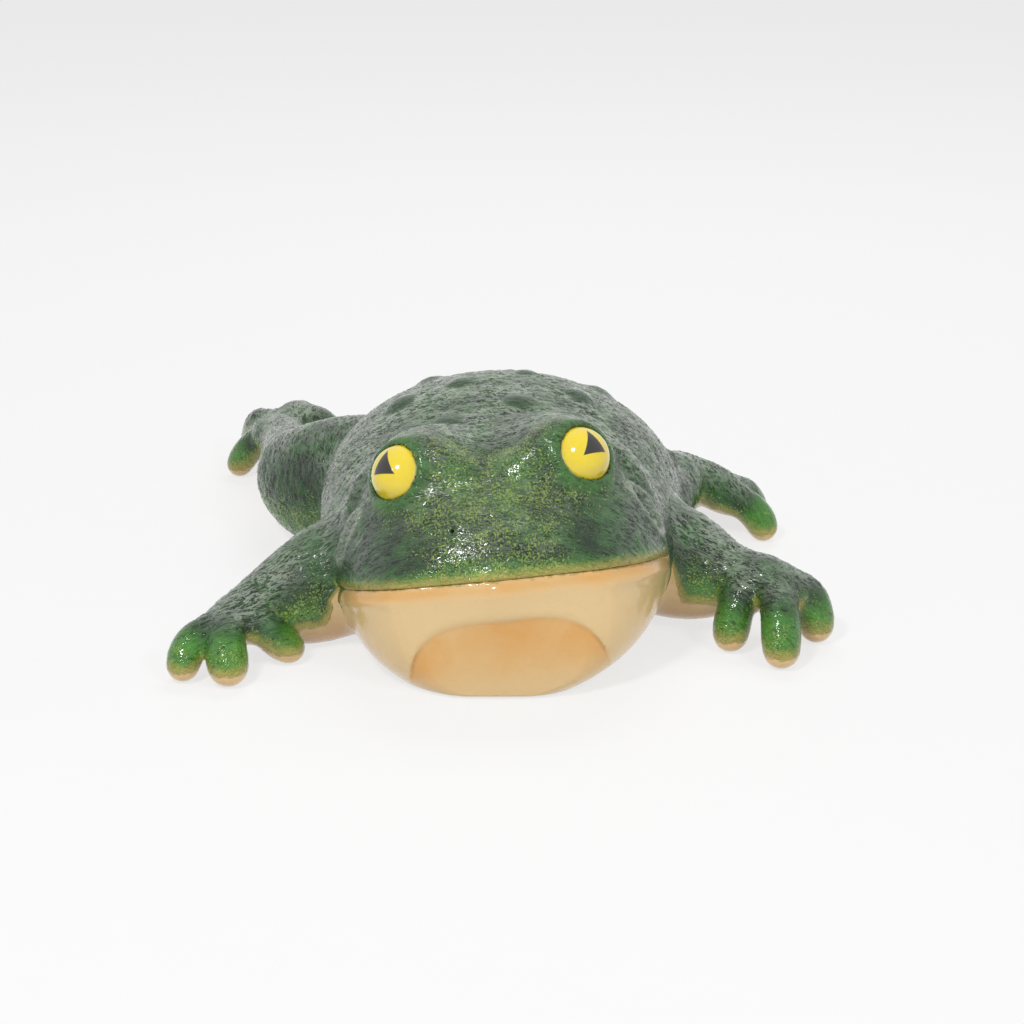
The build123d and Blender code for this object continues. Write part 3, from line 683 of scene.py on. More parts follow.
def fold_places(piece_name, places):
    """Places in units of the skin's folds: short across them and long along them."""
    axis = np.array(FOLD_AXES[piece_name])
    axis /= np.linalg.norm(axis)
    along = places @ axis
    rest = places - along[:, None] * axis
    return rest / FOLD_LONG + np.outer(along / FOLD_SHORT, axis)


# Height of the border between green and cream along the body, in millimetres
PAINT_LINE_Y = (-174, -84, -70, -52, -20, 60, 168)
PAINT_LINE_HEIGHT = (80, 52, 38, 30, 28, 34, 42)
# Places of paints on the head, in millimetres: a fade as its two ends, a band as its middle and spread
HEAD_Y, FACE_EDGE, FACE_SIDE = (60, 90), (-4, 6), (62, 84)
BROW_Y, BROW_ARCH, BROW_ARCH_AT, BROW_SLANT = -101, 10, (42, 15), 0.12
BROW_GREEN_SIDE, BROW_GREEN_LEVEL = (18, 14), (128, 12)
CHEEK_SIDE, CHEEK_LEVELS = (30, 55), (96, 116)
LID_AROUND, LID_OUT = (21, 4.5), (12, 22)
# Painted ochre shade: a band under the upper lip, a fade under the throat's arch and one low on the flanks
BORDER_STIPPLE, LIP_GREEN, LIP_SIDE, LIP_SHADE = (-3, 5), (-2.5, 6), (30, 80), (4.0, 4.5)
THROAT_SHADE_LEVEL, THROAT_SHADE_EDGE, THROAT_SHADE_FALL = (2, 24), (-1, 3), (8, 45)
FLANK_SHADE_SIDE, FLANK_SHADE_DEPTH = (70, 100), (12, 40)


def body_paint(form, places, normals):
    """Levels of each paint on the body, painted sheen and shade among them, and of the skin's relief."""
    x, y, z = places.T
    _, _, _, _, across, level = form.body_frame(x, y, z)
    side = np.abs(across)
    cream = np.interp(y, PAINT_LINE_Y, PAINT_LINE_HEIGHT) - level
    front = ease(-y, *HEAD_Y)
    brow_y = BROW_Y + BROW_ARCH * bump(side, *BROW_ARCH_AT) + BROW_SLANT * side
    face = ease(brow_y - y, *FACE_EDGE) * (1 - ease(side, *FACE_SIDE))
    cheek = ease(side, *CHEEK_SIDE) * (1 - ease(level, *CHEEK_LEVELS)) * front
    oval = ear_place(y, level)
    ear = (1 - ease(oval, 0.7, 1.1)) * ease(side, *EAR_SIDE)
    rims = bump(oval, 1, EAR_RIM_SPREAD) * ease(side, *EAR_SIDE)
    pale = 0.9 * rims + 0.5 * ear * (0.5 + 0.5 * np.sin(0.9 * level + 0.4 * y))
    lids = np.zeros(len(places))
    for sign in (-1, 1):
        mound, heading, _, _ = form.eye_axes(sign)
        out, around = from_axis(x, y, z, mound, heading)
        lids = np.maximum(lids, bump(around, *LID_AROUND) * ease(out, *LID_OUT))
        fold = form.head_run(sign, FOLD_BEHIND_EYE)
        gap = np.min([ball_gap(x, y, z, row[:3], row[4]) for row in fold], axis=0)
        pale = np.maximum(pale, 0.8 * (1 - ease(gap, -0.5, 1.8)))
    wart = np.zeros(len(places))
    for centre, radius in form.warts():
        wart = np.maximum(wart, 1 - ease(ball_gap(x, y, z, centre, radius), 0.1, 1.2))
    # Painted sheen: grey grows where the skin faces up to the light, on top of the dry-brush paint
    up = ease(normals[:, 2], -0.15, 0.75)
    grey = np.maximum(up, 0.45) * (1 - 0.72 * face) * (1 - wart) * (1 - 0.6 * lids) * (1 - 0.6 * cheek)
    grey = np.maximum(grey, 0.9 * ear)
    stipple = face * (1 - 0.8 * cheek) * (1 - 0.7 * lids)
    stipple = stipple + 0.5 * front * bump(cream, *BORDER_STIPPLE) + 0.25 * (1 - front)
    lip = front * bump(cream, *LIP_GREEN) * (1 - 0.45 * ease(side, *LIP_SIDE))
    brow = 0.35 * face * bump(side, *BROW_GREEN_SIDE) * bump(level, *BROW_GREEN_LEVEL)
    bright = np.maximum(np.maximum(lip, 0.45 * lids), brow)
    # Painted shade in ochre: under the throat's arch, just under the upper lip and low on the flanks
    below = throat_place(side, level)
    throat = front * ease(level, *THROAT_SHADE_LEVEL) * ease(below, *THROAT_SHADE_EDGE)
    throat = throat * (1 - 0.65 * ease(below, *THROAT_SHADE_FALL))
    warm = np.maximum(0.85 * front * bump(cream, *LIP_SHADE), throat)
    warm = np.maximum(warm, 0.55 * ease(side, *FLANK_SHADE_SIDE) * ease(cream, *FLANK_SHADE_DEPTH))
    relief = 1 - 0.75 * face - 0.55 * wart * (1 - face)
    relief = np.clip(relief, 0.08, 1) * ease(-cream, -1, 9)
    return {"cream": cream, "warm": warm, "grey": grey, "stipple": stipple, "bright": bright, "wart": wart,
            "relief": relief, "pale": pale}


# Digits of each limb, and the cream border's height on each run as a share of its radius
DIGITS = 4
ARM_BORDER, THIGH_BORDER, SHANK_BORDER = -0.42, -0.88, -0.55
RUN_BLEND = 1.5


def limb_paint(form, name, places, normals):
    """Levels of each paint on one limb, painted sheen and shade among them, and of the skin's relief."""
    best = np.full(len(places), np.inf)
    # Height, radius, share along a digit and border of the nearest run, blended where runs meet
    near = np.tile([[0.0], [1.0], [0.0], [ARM_BORDER]], len(places))
    runs = form.runs[name]
    for number, rows in enumerate(runs):
        digit = number >= len(runs) - DIGITS
        edge = ARM_BORDER if name.startswith("front") else THIGH_BORDER if number == 0 else SHANK_BORDER
        for share, row in zip(np.linspace(0, 1, len(rows)), rows):
            gap = ball_gap(*places.T, row[:3], row[4])
            closer = gap < best
            best = np.where(closer, gap, best)
            weight = 1 / (1 + np.exp(np.clip((gap - best) / RUN_BLEND, -30, 30)))
            blend = np.where(closer, 0.5 + weight, weight).clip(0, 1)
            here = np.array([row[2], row[4], share if digit else 0, edge])[:, None]
            near = near * (1 - blend) + here * blend
    height, radius, tip, border = near
    lift = (places[:, 2] - height) / radius
    cream = (border + 0.30 * ease(tip, 0.75, 1.0) - lift) * radius
    # Painted sheen: grey where the limb faces up to the light
    grey = 0.85 * ease(normals[:, 2], 0.1, 0.95) * (1 - ease(tip, 0.25, 0.7))
    stipple = np.maximum(bump(lift, border + 0.45, 0.55), 0.9 * ease(tip, 0.62, 0.98))
    bright = np.maximum(ease(tip, 0.45, 0.9), 0.75 * bump(lift, border + 0.25, 0.35))
    # Painted shade in ochre deep on the limb's underside, and a little ochre tone on the tips
    warm = 0.75 * ease(cream, 2, 12) * (1 - tip) + 0.15 * tip
    relief = (1 - 0.85 * ease(tip, 0.3, 0.8)) * ease(-cream, -2, 6)
    zero = np.zeros(len(places))
    return {"cream": cream, "warm": warm, "grey": grey, "stipple": stipple, "bright": bright, "wart": zero,
            "relief": relief, "pale": zero}


def blended(one, other, share):
    """Mix of two sets of paint values."""
    return {key: one[key] * (1 - share) + other[key] * share for key in one}


def group_tree(name, kind, inputs, outputs):
    """New node group with named sockets, and its input and output nodes."""
    tree = bpy.data.node_groups.new(name, kind)
    for label, socket, default in inputs:
        made = tree.interface.new_socket(label, in_out="INPUT", socket_type=socket)
        if default is not None:
            made.default_value = default
    for label, socket in outputs:
        tree.interface.new_socket(label, in_out="OUTPUT", socket_type=socket)
    return tree, tree.nodes.new("NodeGroupInput"), tree.nodes.new("NodeGroupOutput")


class Wires:
    """Short way to add and join nodes in one tree."""

    def __init__(self, tree):
        self.tree = tree

    def node(self, kind, inputs=None, **settings):
        """New node with its settings and its inputs."""
        made = self.tree.nodes.new(kind)
        for key, value in settings.items():
            setattr(made, key, value)
        self.fill(made, inputs or {})
        return made

    def feed(self, socket, value):
        """Links or sets one input."""
        if isinstance(value, bpy.types.NodeSocket):
            self.tree.links.new(value, socket)
        else:
            socket.default_value = value

    def fill(self, node, values):
        """Links or sets inputs of a node by name or number."""
        for key, value in values.items():
            self.feed(node.inputs[key], value)

    def maths(self, operation, first, *others):
        """Result of a math operation over two or more values."""
        for other in others:
            first = self.node("ShaderNodeMath", {0: first, 1: other}, operation=operation).outputs[0]
        return first

    def times(self, *values):
        """Product of values."""
        return self.maths("MULTIPLY", *values)

    def plus(self, *values):
        """Sum of values."""
        return self.maths("ADD", *values)

    def less(self, one, other):
        """Difference of two values."""
        return self.maths("SUBTRACT", one, other)

    def step(self, value, low, high, start=0.0, end=1.0):
        """Smooth step of a value between two places."""
        given = dict(enumerate((value, low, high, start, end)))
        return self.node("ShaderNodeMapRange", given, interpolation_type="SMOOTHSTEP").outputs[0]

    def mix(self, share, one, other):
        """Mix of two colours."""
        return self.node("ShaderNodeMix", {0: share, 6: one, 7: other}, data_type="RGBA").outputs[2]

    def noise(self, vector, scale, detail=2.0, rough=0.5, twist=0.0, seed=0.0):
        """Noise value at a vector."""
        given = {"Vector": vector, "Scale": scale, "Detail": detail, "Roughness": rough,
                 "Distortion": twist, "W": seed}
        return self.node("ShaderNodeTexNoise", given, noise_dimensions="4D").outputs[0]

    def ridge(self, value, steep=4.5):
        """Sharp crest where a noise crosses its middle."""
        away = self.node("ShaderNodeMath", {0: self.less(value, 0.5)}, operation="ABSOLUTE").outputs[0]
        return self.less(1.0, self.times(away, steep))

    def place(self):
        """Object coordinates."""
        return self.node("ShaderNodeTexCoord").outputs["Object"]

    def relief(self, shader, height, distance, strength=1.0, socket="Normal"):
        """Bump on a shader from a height."""
        made = self.node("ShaderNodeBump", {"Distance": distance, "Strength": strength, "Height": height})
        self.feed(shader.inputs[socket], made.outputs[0])

    def blend(self, share, one, other):
        """Mix of two shaders."""
        given = {0: share, 1: one.outputs[0], 2: other.outputs[0]}
        return self.node("ShaderNodeMixShader", given).outputs[0]


# Fold noises: pitch, detail, roughness, twist and height share; their seed, least crest and surface level
FOLD_NOISES = ((1.0, 2.0, 0.5, 1.1, 0.55), (2.1, 2.0, 0.55, 0.9, 0.35))
FOLD_SEED, FOLD_LEAST, FOLD_LEVEL = 3.0, -0.2, 0.75


def fold_tree():
    """Geometry node tree that raises the skin's folds along its surface."""
    tree, given, result = group_tree(
        "skin_folds", "GeometryNodeTree",
        [("Geometry", "NodeSocketGeometry", None), ("Height", "NodeSocketFloat", None),
         ("Material", "NodeSocketMaterial", None)],
        [("Geometry", "NodeSocketGeometry")],
    )
    wires = Wires(tree)
    get = given.outputs
    flow, weight = (
        wires.node("GeometryNodeInputNamedAttribute", {"Name": name}, data_type=kind).outputs[0]
        for name, kind in (("flow", "FLOAT_VECTOR"), ("relief", "FLOAT"))
    )
    crests = []
    for pitch, detail, rough, twist, share in FOLD_NOISES:
        noise = wires.noise(flow, pitch, detail, rough, twist, FOLD_SEED)
        crests.append(wires.times(wires.maths("MAXIMUM", wires.ridge(noise), FOLD_LEAST), share))
    height = wires.plus(*crests)
    shift = wires.times(wires.less(height, FOLD_LEVEL), get["Height"], weight)
    normal = wires.node("GeometryNodeInputNormal").outputs[0]
    offset = wires.node("ShaderNodeVectorMath", {0: normal, "Scale": shift}, operation="SCALE").outputs[0]
    keep = wires.node(
        "GeometryNodeStoreNamedAttribute", {"Geometry": get["Geometry"], "Name": "crest"},
        data_type="FLOAT", domain="POINT")
    wires.feed(keep.inputs["Value"], height)
    move = wires.node("GeometryNodeSetPosition", {"Geometry": keep.outputs[0], "Offset": offset})
    solid = wires.node("GeometryNodeRealizeInstances", {"Geometry": move.outputs[0]})
    coat = wires.node("GeometryNodeSetMaterial", {"Geometry": solid.outputs[0]})
    wires.feed(coat.inputs["Material"], get["Material"])
    wires.feed(result.inputs[0], coat.outputs[0])
    return tree


def with_folds(piece, height, material):
    """Piece with its folds raised by the node tree, as a plain mesh."""
    tree = bpy.data.node_groups.get("skin_folds") or fold_tree()
    modifier = piece.modifiers.new("folds", "NODES")
    modifier.node_group = tree
    sockets = {item.name: item.identifier for item in tree.interface.items_tree if item.in_out == "INPUT"}
    modifier[sockets["Height"]] = height
    modifier[sockets["Material"]] = material
    graph = bpy.context.evaluated_depsgraph_get()
    made = bpy.data.meshes.new_from_object(piece.evaluated_get(graph))
    piece.modifiers.remove(modifier)
    made.name = piece.name
    piece.data = made
    return piece


# Paints and levels that the skin's shader group takes, by property and by attribute
PAINTS = ("dark_green", "mid_green", "bright_green", "leaf_green", "sheen_grey", "cream", "ochre")
LEVELS = ("cream", "warm", "grey", "stipple", "bright", "wart", "crest", "pale")
# Noises of the skin: scale, detail, roughness, twist and seed
SKIN_NOISES = {
    "patches": (55.0, 3.0, 0.55, 0.4, 0.0),
    "grain": (620.0, 2.0, 0.6, 0.0, 0.0),
    "thinning": (30.0, 2.0, 0.5, 0.0, 2.0),
    "dabs": (820.0, 1.5, 0.6, 0.3, 4.0),
    "drift": (120.0, 2.0, 0.5, 0.0, 6.0),
    "wobble": (190.0, 3.0, 0.65, 0.0, 7.0),
    "cloud": (26.0, 3.0, 0.55, 0.6, 8.0),
    "runs": (360.0, 2.0, 0.55, 0.3, 12.0),
}
# Brush strokes along the folds: noise as above, and steepness
STROKE_NOISES = (((2.1, 2.0, 0.5, 1.0, 5.0), 9.0), ((0.9, 2.0, 0.5, 1.0, 9.0), 11.0))


def skin_group():
    """Shader group of the painted skin: colour with painted sheen and shade, roughness, heights of paint
    and varnish.
    """
    inputs = [("place", "NodeSocketVector", None), ("flow", "NodeSocketVector", None)]
    inputs += [(key + " paint", "NodeSocketColor", None) for key in PAINTS]
    inputs += [(key, "NodeSocketFloat", 0.0) for key in LEVELS]
    outputs = [("Color", "NodeSocketColor")]
    outputs += [(label, "NodeSocketFloat") for label in ("Roughness", "Height", "Varnish")]
    tree, given, result = group_tree("painted_skin", "ShaderNodeTree", inputs, outputs)
    wires = Wires(tree)
    get = given.outputs
    dark, mid, bright_green, leaf, sheen_grey, cream, ochre = (get[key + " paint"] for key in PAINTS)
    noise = {key: wires.noise(get["place"], *settings) for key, settings in SKIN_NOISES.items()}
    grain, cloud = noise["grain"], noise["cloud"]
    # Greens, and the brush strokes along the folds, with painted shade in the grooves and painted sheen on
    # the crests
    ground = wires.mix(wires.step(noise["patches"], 0.40, 0.64), dark, mid)
    bright = wires.times(get["bright"], wires.step(grain, 0.25, 0.6, 0.65, 1.0))
    ground = wires.mix(bright, ground, bright_green)
    strokes = wires.maths("MAXIMUM", *(
        wires.ridge(wires.noise(get["flow"], *settings), steep) for settings, steep in STROKE_NOISES
    ))
    strokes = wires.plus(strokes, wires.times(get["crest"], 0.35))
    # Painted shade: darker in the grooves between the strokes
    groove_shade = wires.times(wires.step(strokes, 0.62, -0.10), 0.75)
    ground = wires.mix(groove_shade, ground, wires.mix(0.7, dark, (0, 0, 0, 1)))
    ground = wires.mix(get["wart"], ground, wires.mix(0.35, dark, mid))
    # Grey on the stroke crests: dry-brush paint together with painted sheen on up-facing folds
    brushed = wires.step(strokes, 0.72, 1.02)
    sheen = wires.times(brushed, get["grey"], wires.step(noise["thinning"], 0.3, 0.62, 0.35, 1.0))
    ground = wires.mix(wires.times(sheen, 0.9), ground, sheen_grey)
    edging = wires.times(get["pale"], wires.step(grain, 0.25, 0.6, 0.4, 1.0))
    ground = wires.mix(edging, ground, sheen_grey)
    # Yellow-green stipple
    share = wires.plus(wires.times(get["stipple"], 0.16), wires.times(noise["drift"], 0.30))
    specks = wires.step(wires.less(noise["dabs"], wires.less(0.83, share)), 0.0, 0.06)
    specks = wires.times(specks, wires.step(get["stipple"], 0.02, 0.35))
    ground = wires.mix(wires.times(specks, 0.75), ground, leaf)
    # Cream with its ragged border
    edge = wires.plus(get["cream"], wires.times(wires.less(noise["wobble"], 0.5), 7.0))
    ground = wires.mix(wires.times(wires.step(edge, -8.0, -0.5), 0.8), ground, wires.mix(0.5, leaf, ochre))
    # Ochre on the cream: painted shade from the stored level, plus random ochre clouds of real tone
    warm = wires.times(get["warm"], wires.step(cloud, 0.25, 0.7, 0.5, 1.1))
    warm = wires.plus(warm, wires.step(cloud, 0.58, 0.8, 0.0, 0.25))
    light = wires.mix(wires.maths("MINIMUM", warm, 1.0), cream, ochre)
    covered = wires.step(edge, -0.8, 1.6)
    # Relief of the paint, and the calmer surface of the varnish over it
    rough = wires.less(1.0, covered)
    rise = wires.plus(wires.times(strokes, 0.6), wires.times(specks, 0.35), wires.times(grain, 0.5))
    soft = wires.plus(wires.times(wires.step(strokes, -0.2, 1.1), 0.55), noise["runs"])
    wires.fill(result, {
        "Color": wires.mix(covered, ground, light),
        "Roughness": wires.plus(wires.times(sheen, 0.22), wires.times(grain, 0.08), 0.24),
        "Height": wires.times(rise, wires.plus(wires.times(rough, 0.92), 0.08)),
        "Varnish": wires.times(soft, wires.plus(wires.times(rough, 0.85), 0.15)),
    })
    return tree


def new_material(name):
    """Empty material with a Principled shader, and its wires."""
    made = bpy.data.materials.new(name)
    made.use_nodes = True
    made.node_tree.nodes.clear()
    wires = Wires(made.node_tree)
    shader = wires.node("ShaderNodeBsdfPrincipled")
    wires.node("ShaderNodeOutputMaterial", {"Surface": shader.outputs[0]})
    return made, wires, shader


def skin_material(name, colours):
    """Varnished paint of one casting."""
    made, wires, shader = new_material(name)
    tree = bpy.data.node_groups.get("painted_skin") or skin_group()
    flow = wires.node("ShaderNodeAttribute", attribute_name="flow").outputs["Vector"]
    given = {"place": wires.place(), "flow": flow}
    given.update({key + " paint": getattr(colours, key) for key in PAINTS})
    for key in LEVELS:
        given[key] = wires.node("ShaderNodeAttribute", attribute_name=key).outputs["Fac"]
    group = wires.node("ShaderNodeGroup", node_tree=tree)
    wires.fill(group, given)
    wires.fill(shader, {
        "Base Color": group.outputs["Color"], "Roughness": group.outputs["Roughness"],
        "Specular IOR Level": 0.15, "Coat Weight": 1.0, "Coat IOR": 1.43, "Coat Roughness": 0.04,
    })
    wires.relief(shader, group.outputs["Height"], 0.0012, 0.9)
    wires.relief(shader, group.outputs["Varnish"], 0.0005, 0.75, "Coat Normal")
    return made


# Corners of the pupil before and above the eye's middle, and the height of the rim's line, in millimetres
PUPIL_CORNERS = ((-3.2, 12.0), (9.0, -1.4), (-6.5, -4.6))
EYE_LINE = 7.5


def eye_material(colours):
    """Yellow enamel with a dark wedge pupil and a pale rim."""
    made, wires, shader = new_material("eye_enamel")
    look = wires.node("ShaderNodeAttribute", attribute_name="look").outputs["Vector"]
    fore, up, out = wires.node("ShaderNodeSeparateXYZ", {0: look}).outputs
    sides = []
    for one, two in zip(PUPIL_CORNERS, PUPIL_CORNERS[1:] + PUPIL_CORNERS[:1]):
        run, rise = two[0] - one[0], two[1] - one[1]
        size = math.hypot(run, rise)
        inward = wires.plus(wires.times(fore, rise / size), wires.times(up, -run / size))
        sides.append(wires.less(inward, (one[0] * rise - one[1] * run) / size))
    black = wires.step(wires.maths("MINIMUM", *sides), -0.3, 0.3)
    brushed = wires.noise(wires.place(), 160.0, 3.0, 0.6)
    deeper = wires.mix(0.55, colours.eye_yellow, colours.ochre)
    yellow = wires.mix(wires.step(brushed, 0.5, 0.85, 0.0, 0.4), colours.eye_yellow, deeper)
    # Painted shade: the lower part of the dome darker and greener
    painted_lower_shade = wires.mix(0.5, colours.eye_yellow, colours.mid_green)
    yellow = wires.mix(wires.step(up, -6.0, -17.0, 0.0, 0.35), yellow, painted_lower_shade)
    rim = wires.times(wires.step(out, EYE_LINE + 1.3, EYE_LINE + 0.4), 0.85)
    painted = wires.mix(rim, yellow, wires.mix(0.5, colours.cream, (0.9, 0.86, 0.6, 1)))
    wires.fill(shader, {
        "Base Color": wires.mix(black, painted, colours.pupil), "Coat Weight": 1.0, "Coat Roughness": 0.03,
        "Roughness": wires.plus(wires.times(brushed, 0.10), 0.10),
    })
    wires.relief(shader, wires.plus(brushed, black), 0.0002, 0.4)
    return made


def dowel_distance(form, name, axes, extra, radius):
    """Distance from a limb's dowel, or from its boss, on a grid."""
    side, y_at, z_at = DOWELS[name]
    x, y, z = spread(axes)
    wall = np.interp(y_at, form.stations[:, 0], form.stations[:, 1])
    low, high = wall - DOWEL_LENGTH + DOWEL_IN_LIMB - extra, wall + DOWEL_IN_LIMB + extra
    round_gap = np.hypot(y - y_at, z - z_at) - radius - extra
    return np.maximum(round_gap, np.maximum(low - side * x, side * x - high))


def oval_distance(axes, length, width):
    """Distance from an upright oval on the middle line, on a grid."""
    x, y, _ = spread(axes)
    ratio = np.hypot(x / (width / 2), (y - BASE_Y) / (length / 2))
    return (ratio - 1) * width / 2


def joined_body(form, axes):
    """Body, plain body, body filleted to its limbs, what it owns of that, its sunk laps, and the limbs."""
    body, plain = form.dressed_body(axes)
    whole = body.copy()
    owned = np.full(body.shape, -FAR, np.float32)
    sink = np.zeros(body.shape, np.float32)
    limbs = {}
    for name in LIMB_RUNS:
        limbs[name] = limb = form.limb(name, axes)
        whole = melt(whole, limb, SHOULDER_FILLET)
        lead = (limb - body) / 2
        owned = np.maximum(owned, np.minimum(-lead, body + SEAT_DEPTH))
        sink = np.maximum(sink, lap_sink(lead))
    return body, plain, whole, owned, sink, limbs


def lap_sink(place):
    """How far a lapped edge lies back, from the place across the lap."""
    return LAP_SINK * (1 - ease(place, *LAP_EDGE))


def shell_fields(form):
    """Upper and lower casting as closed hollow shells, with their grid, the body and the limbs."""
    side = form.half_width + GRID_SIDE_MARGIN
    low = (-side, -form.nose - GRID_END_MARGIN, GRID_FLOOR)
    axes = grid(low, (side, form.length - form.nose + GRID_END_MARGIN, GRID_TOP), form.step)
    body, plain, whole, owned, sink, limbs = joined_body(form, axes)
    x, y, z = spread(axes)
    drop = form.mouth_drop(y, form.body_frame(x, y, z)[-1])
    behind = ease(y, MOUTH_CORNER_Y, MOUTH_CORNER_Y + LAP_LEAD)
    casting = np.maximum(whole + sink, owned)
    hollow = np.maximum(np.maximum(plain, body) + form.wall, PAD_RISE + FLOOR_WALL - z)
    hollow = np.maximum(hollow, SNOUT_WALL - form.nose - y)
    upper = np.maximum(np.maximum(casting, drop - LAP * behind), -hollow)
    lower = np.maximum(np.maximum(casting + behind * lap_sink(drop), -drop), -hollow)
    for name in DOWELS:
        boss = dowel_distance(form, name, axes, 0.0, BOSS_RADIUS)
        lower = np.minimum(lower, np.maximum(np.maximum(boss, plain + BOSS_SINK), -drop))
        lower = np.maximum(lower, -dowel_distance(form, name, axes, DOWEL_PLAY, DOWEL_RADIUS))
    lower = np.maximum(lower, PAD_RISE - z)
    pad_top = form.pad_thickness
    for length_wide, width, top in (
        (PAD_LENGTH + 2 * SEAT_PLAY, PAD_WIDTH + 2 * SEAT_PLAY, pad_top),
        (PLATE_LENGTH + 2 * SEAT_PLAY, PLATE_WIDTH + 2 * SEAT_PLAY, pad_top + PLATE_THICKNESS),
        (PLATE_LENGTH - 2 * PLATE_LEDGE, PLATE_WIDTH - 2 * PLATE_LEDGE, pad_top + FLOOR_WALL + form.wall),
    ):
        lower = np.maximum(lower, -np.maximum(oval_distance(axes, length_wide, width), z - top))
    return axes, body, limbs, {"back_casting": upper, "belly_casting": lower}


def dress(piece, values, flow, material, height):
    """Stores paint values on a piece, raises its folds and gives it its material."""
    for key, value in {"flow": flow, **values}.items():
        set_field(piece.data, key, value)
    with_folds(piece, height, material)
    if not piece.data.materials:
        piece.data.materials.append(material)


def hand_in(piece, node, slot):
    """Lets a piece ride the body in the place of a node."""
    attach(piece, "root")
    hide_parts(node)


# Where the paint changes between body and limb, and where the relief fades inside the shell
LIMB_PAINT_EDGE, BODY_PAINT_EDGE, INNER_FADE = (-3, 9), (-9, 3), (-2.5, -0.5)
# Node and slot of each body casting
SHELLS = {"back_casting": ("back_shell", "back_paint"), "belly_casting": ("belly_shell", "belly_paint")}
CALM_SHARE, CALM_REACH = 0.75, 7.0


def calmed(lead):
    """Share of the relief that stays where a limb meets the body."""
    return 1 - CALM_SHARE + CALM_SHARE * ease(np.abs(lead), 0, CALM_REACH)


class FROG_OT_body(bpy.types.Operator):
    """Makes the back and belly castings with their painted skin"""
    bl_idname = "frog.body"
    bl_label = "Back and belly castings"

    def execute(self, context):
        sizes, colours = context.scene.frog_sizes, context.scene.frog_colours
        form = Form(sizes)
        axes, body, limbs, fields = shell_fields(form)
        for name, field in fields.items():
            piece, corners, normals = skin_piece(name, field, axes)
            values = body_paint(form, corners, normals)
            own = read(body, axes, corners)
            for limb_name, limb in limbs.items():
                lead = (read(limb, axes, corners) - own) / 2
                near = 1 - ease(lead, *LIMB_PAINT_EDGE)
                close = np.nonzero(near)[0]
                if len(close):
                    there = limb_paint(form, limb_name, corners[close], normals[close])
                    here = {key: value[close] for key, value in values.items()}
                    for key, value in blended(here, there, near[close]).items():
                        values[key][close] = value
                values["relief"] *= calmed(lead)
            values["relief"] *= ease(own, *INNER_FADE)
            node, slot = SHELLS[name]
            material = skin_material(slot, colours)
            dress(piece, values, fold_places("body", corners), material, sizes.fold_height)
            hand_in(piece, node, slot)
        return {"FINISHED"}


class FROG_OT_limbs(bpy.types.Operator):
    """Makes the four limb castings"""
    bl_idname = "frog.limbs"
    bl_label = "Limb castings"

    def execute(self, context):
        sizes, colours = context.scene.frog_sizes, context.scene.frog_colours
        form = Form(sizes)
        material = skin_material("limb_paint", colours)
        for name, runs in form.runs.items():
            rows = np.concatenate(runs)
            reach = rows[:, 3:].max(1)[:, None] + BOX_MARGIN
            low, high = (rows[:, :3] - reach).min(0), (rows[:, :3] + reach).max(0)
            low[2] = -2 * form.step
            axes = grid(low, high, form.step)
            body, _ = form.dressed_body(axes)
            limb = form.limb(name, axes)
            lead = (limb - body) / 2
            field = np.maximum(melt(body, limb, SHOULDER_FILLET), lead - LAP)
            field = np.maximum(field, -(body + SEAT_DEPTH - SEAT_GAP))
            field = np.maximum(field, -spread(axes)[2])
            field = np.maximum(field, -dowel_distance(form, name, axes, DOWEL_PLAY, DOWEL_RADIUS))
            piece, corners, normals = skin_piece(name + "_casting", field, axes)
            lead = (read(limb, axes, corners) - read(body, axes, corners)) / 2
            paints = limb_paint(form, name, corners, normals), body_paint(form, corners, normals)
            values = blended(*paints, ease(lead, *BODY_PAINT_EDGE))
            values["relief"] *= calmed(lead)
            dress(piece, values, fold_places(name, corners), material, sizes.fold_height)
            hand_in(piece, name, "limb_paint")
        return {"FINISHED"}


def turned_piece(name, profile, segments, place, material):
    """Closed piece from rings round an axis; the first and last ring are single points."""
    corners = [place(out, along, index)
               for out, along in profile for index in range(segments if out else 1)]
    faces = []
    for ring in range(len(profile) - 1):
        one, two = 1 + (ring - 1) * segments, 1 + ring * segments
        for index in range(segments):
            after = (index + 1) % segments
            if ring == 0:
                faces.append((0, two + after, two + index))
            elif ring == len(profile) - 2:
                faces.append((one + index, one + after, two))
            else:
                faces.append((one + index, one + after, two + after, two + index))
    mesh = bpy.data.meshes.new(name)
    mesh.from_pydata([np.array(corner) * MM for corner in corners], [], faces)
    work = bmesh.new()
    work.from_mesh(mesh)
    bmesh.ops.recalc_face_normals(work, faces=work.faces)
    for face in work.faces:
        face.smooth = True
    work.to_mesh(mesh)
    work.free()
    mesh.materials.append(material)
    return placed(name, mesh), np.array(corners)


EYE_RINGS, EYE_SEGMENTS = 30, 72
EYE_BACK_ROUND, EYE_BACK_LIP = 0.8, (0.15, 0.25)


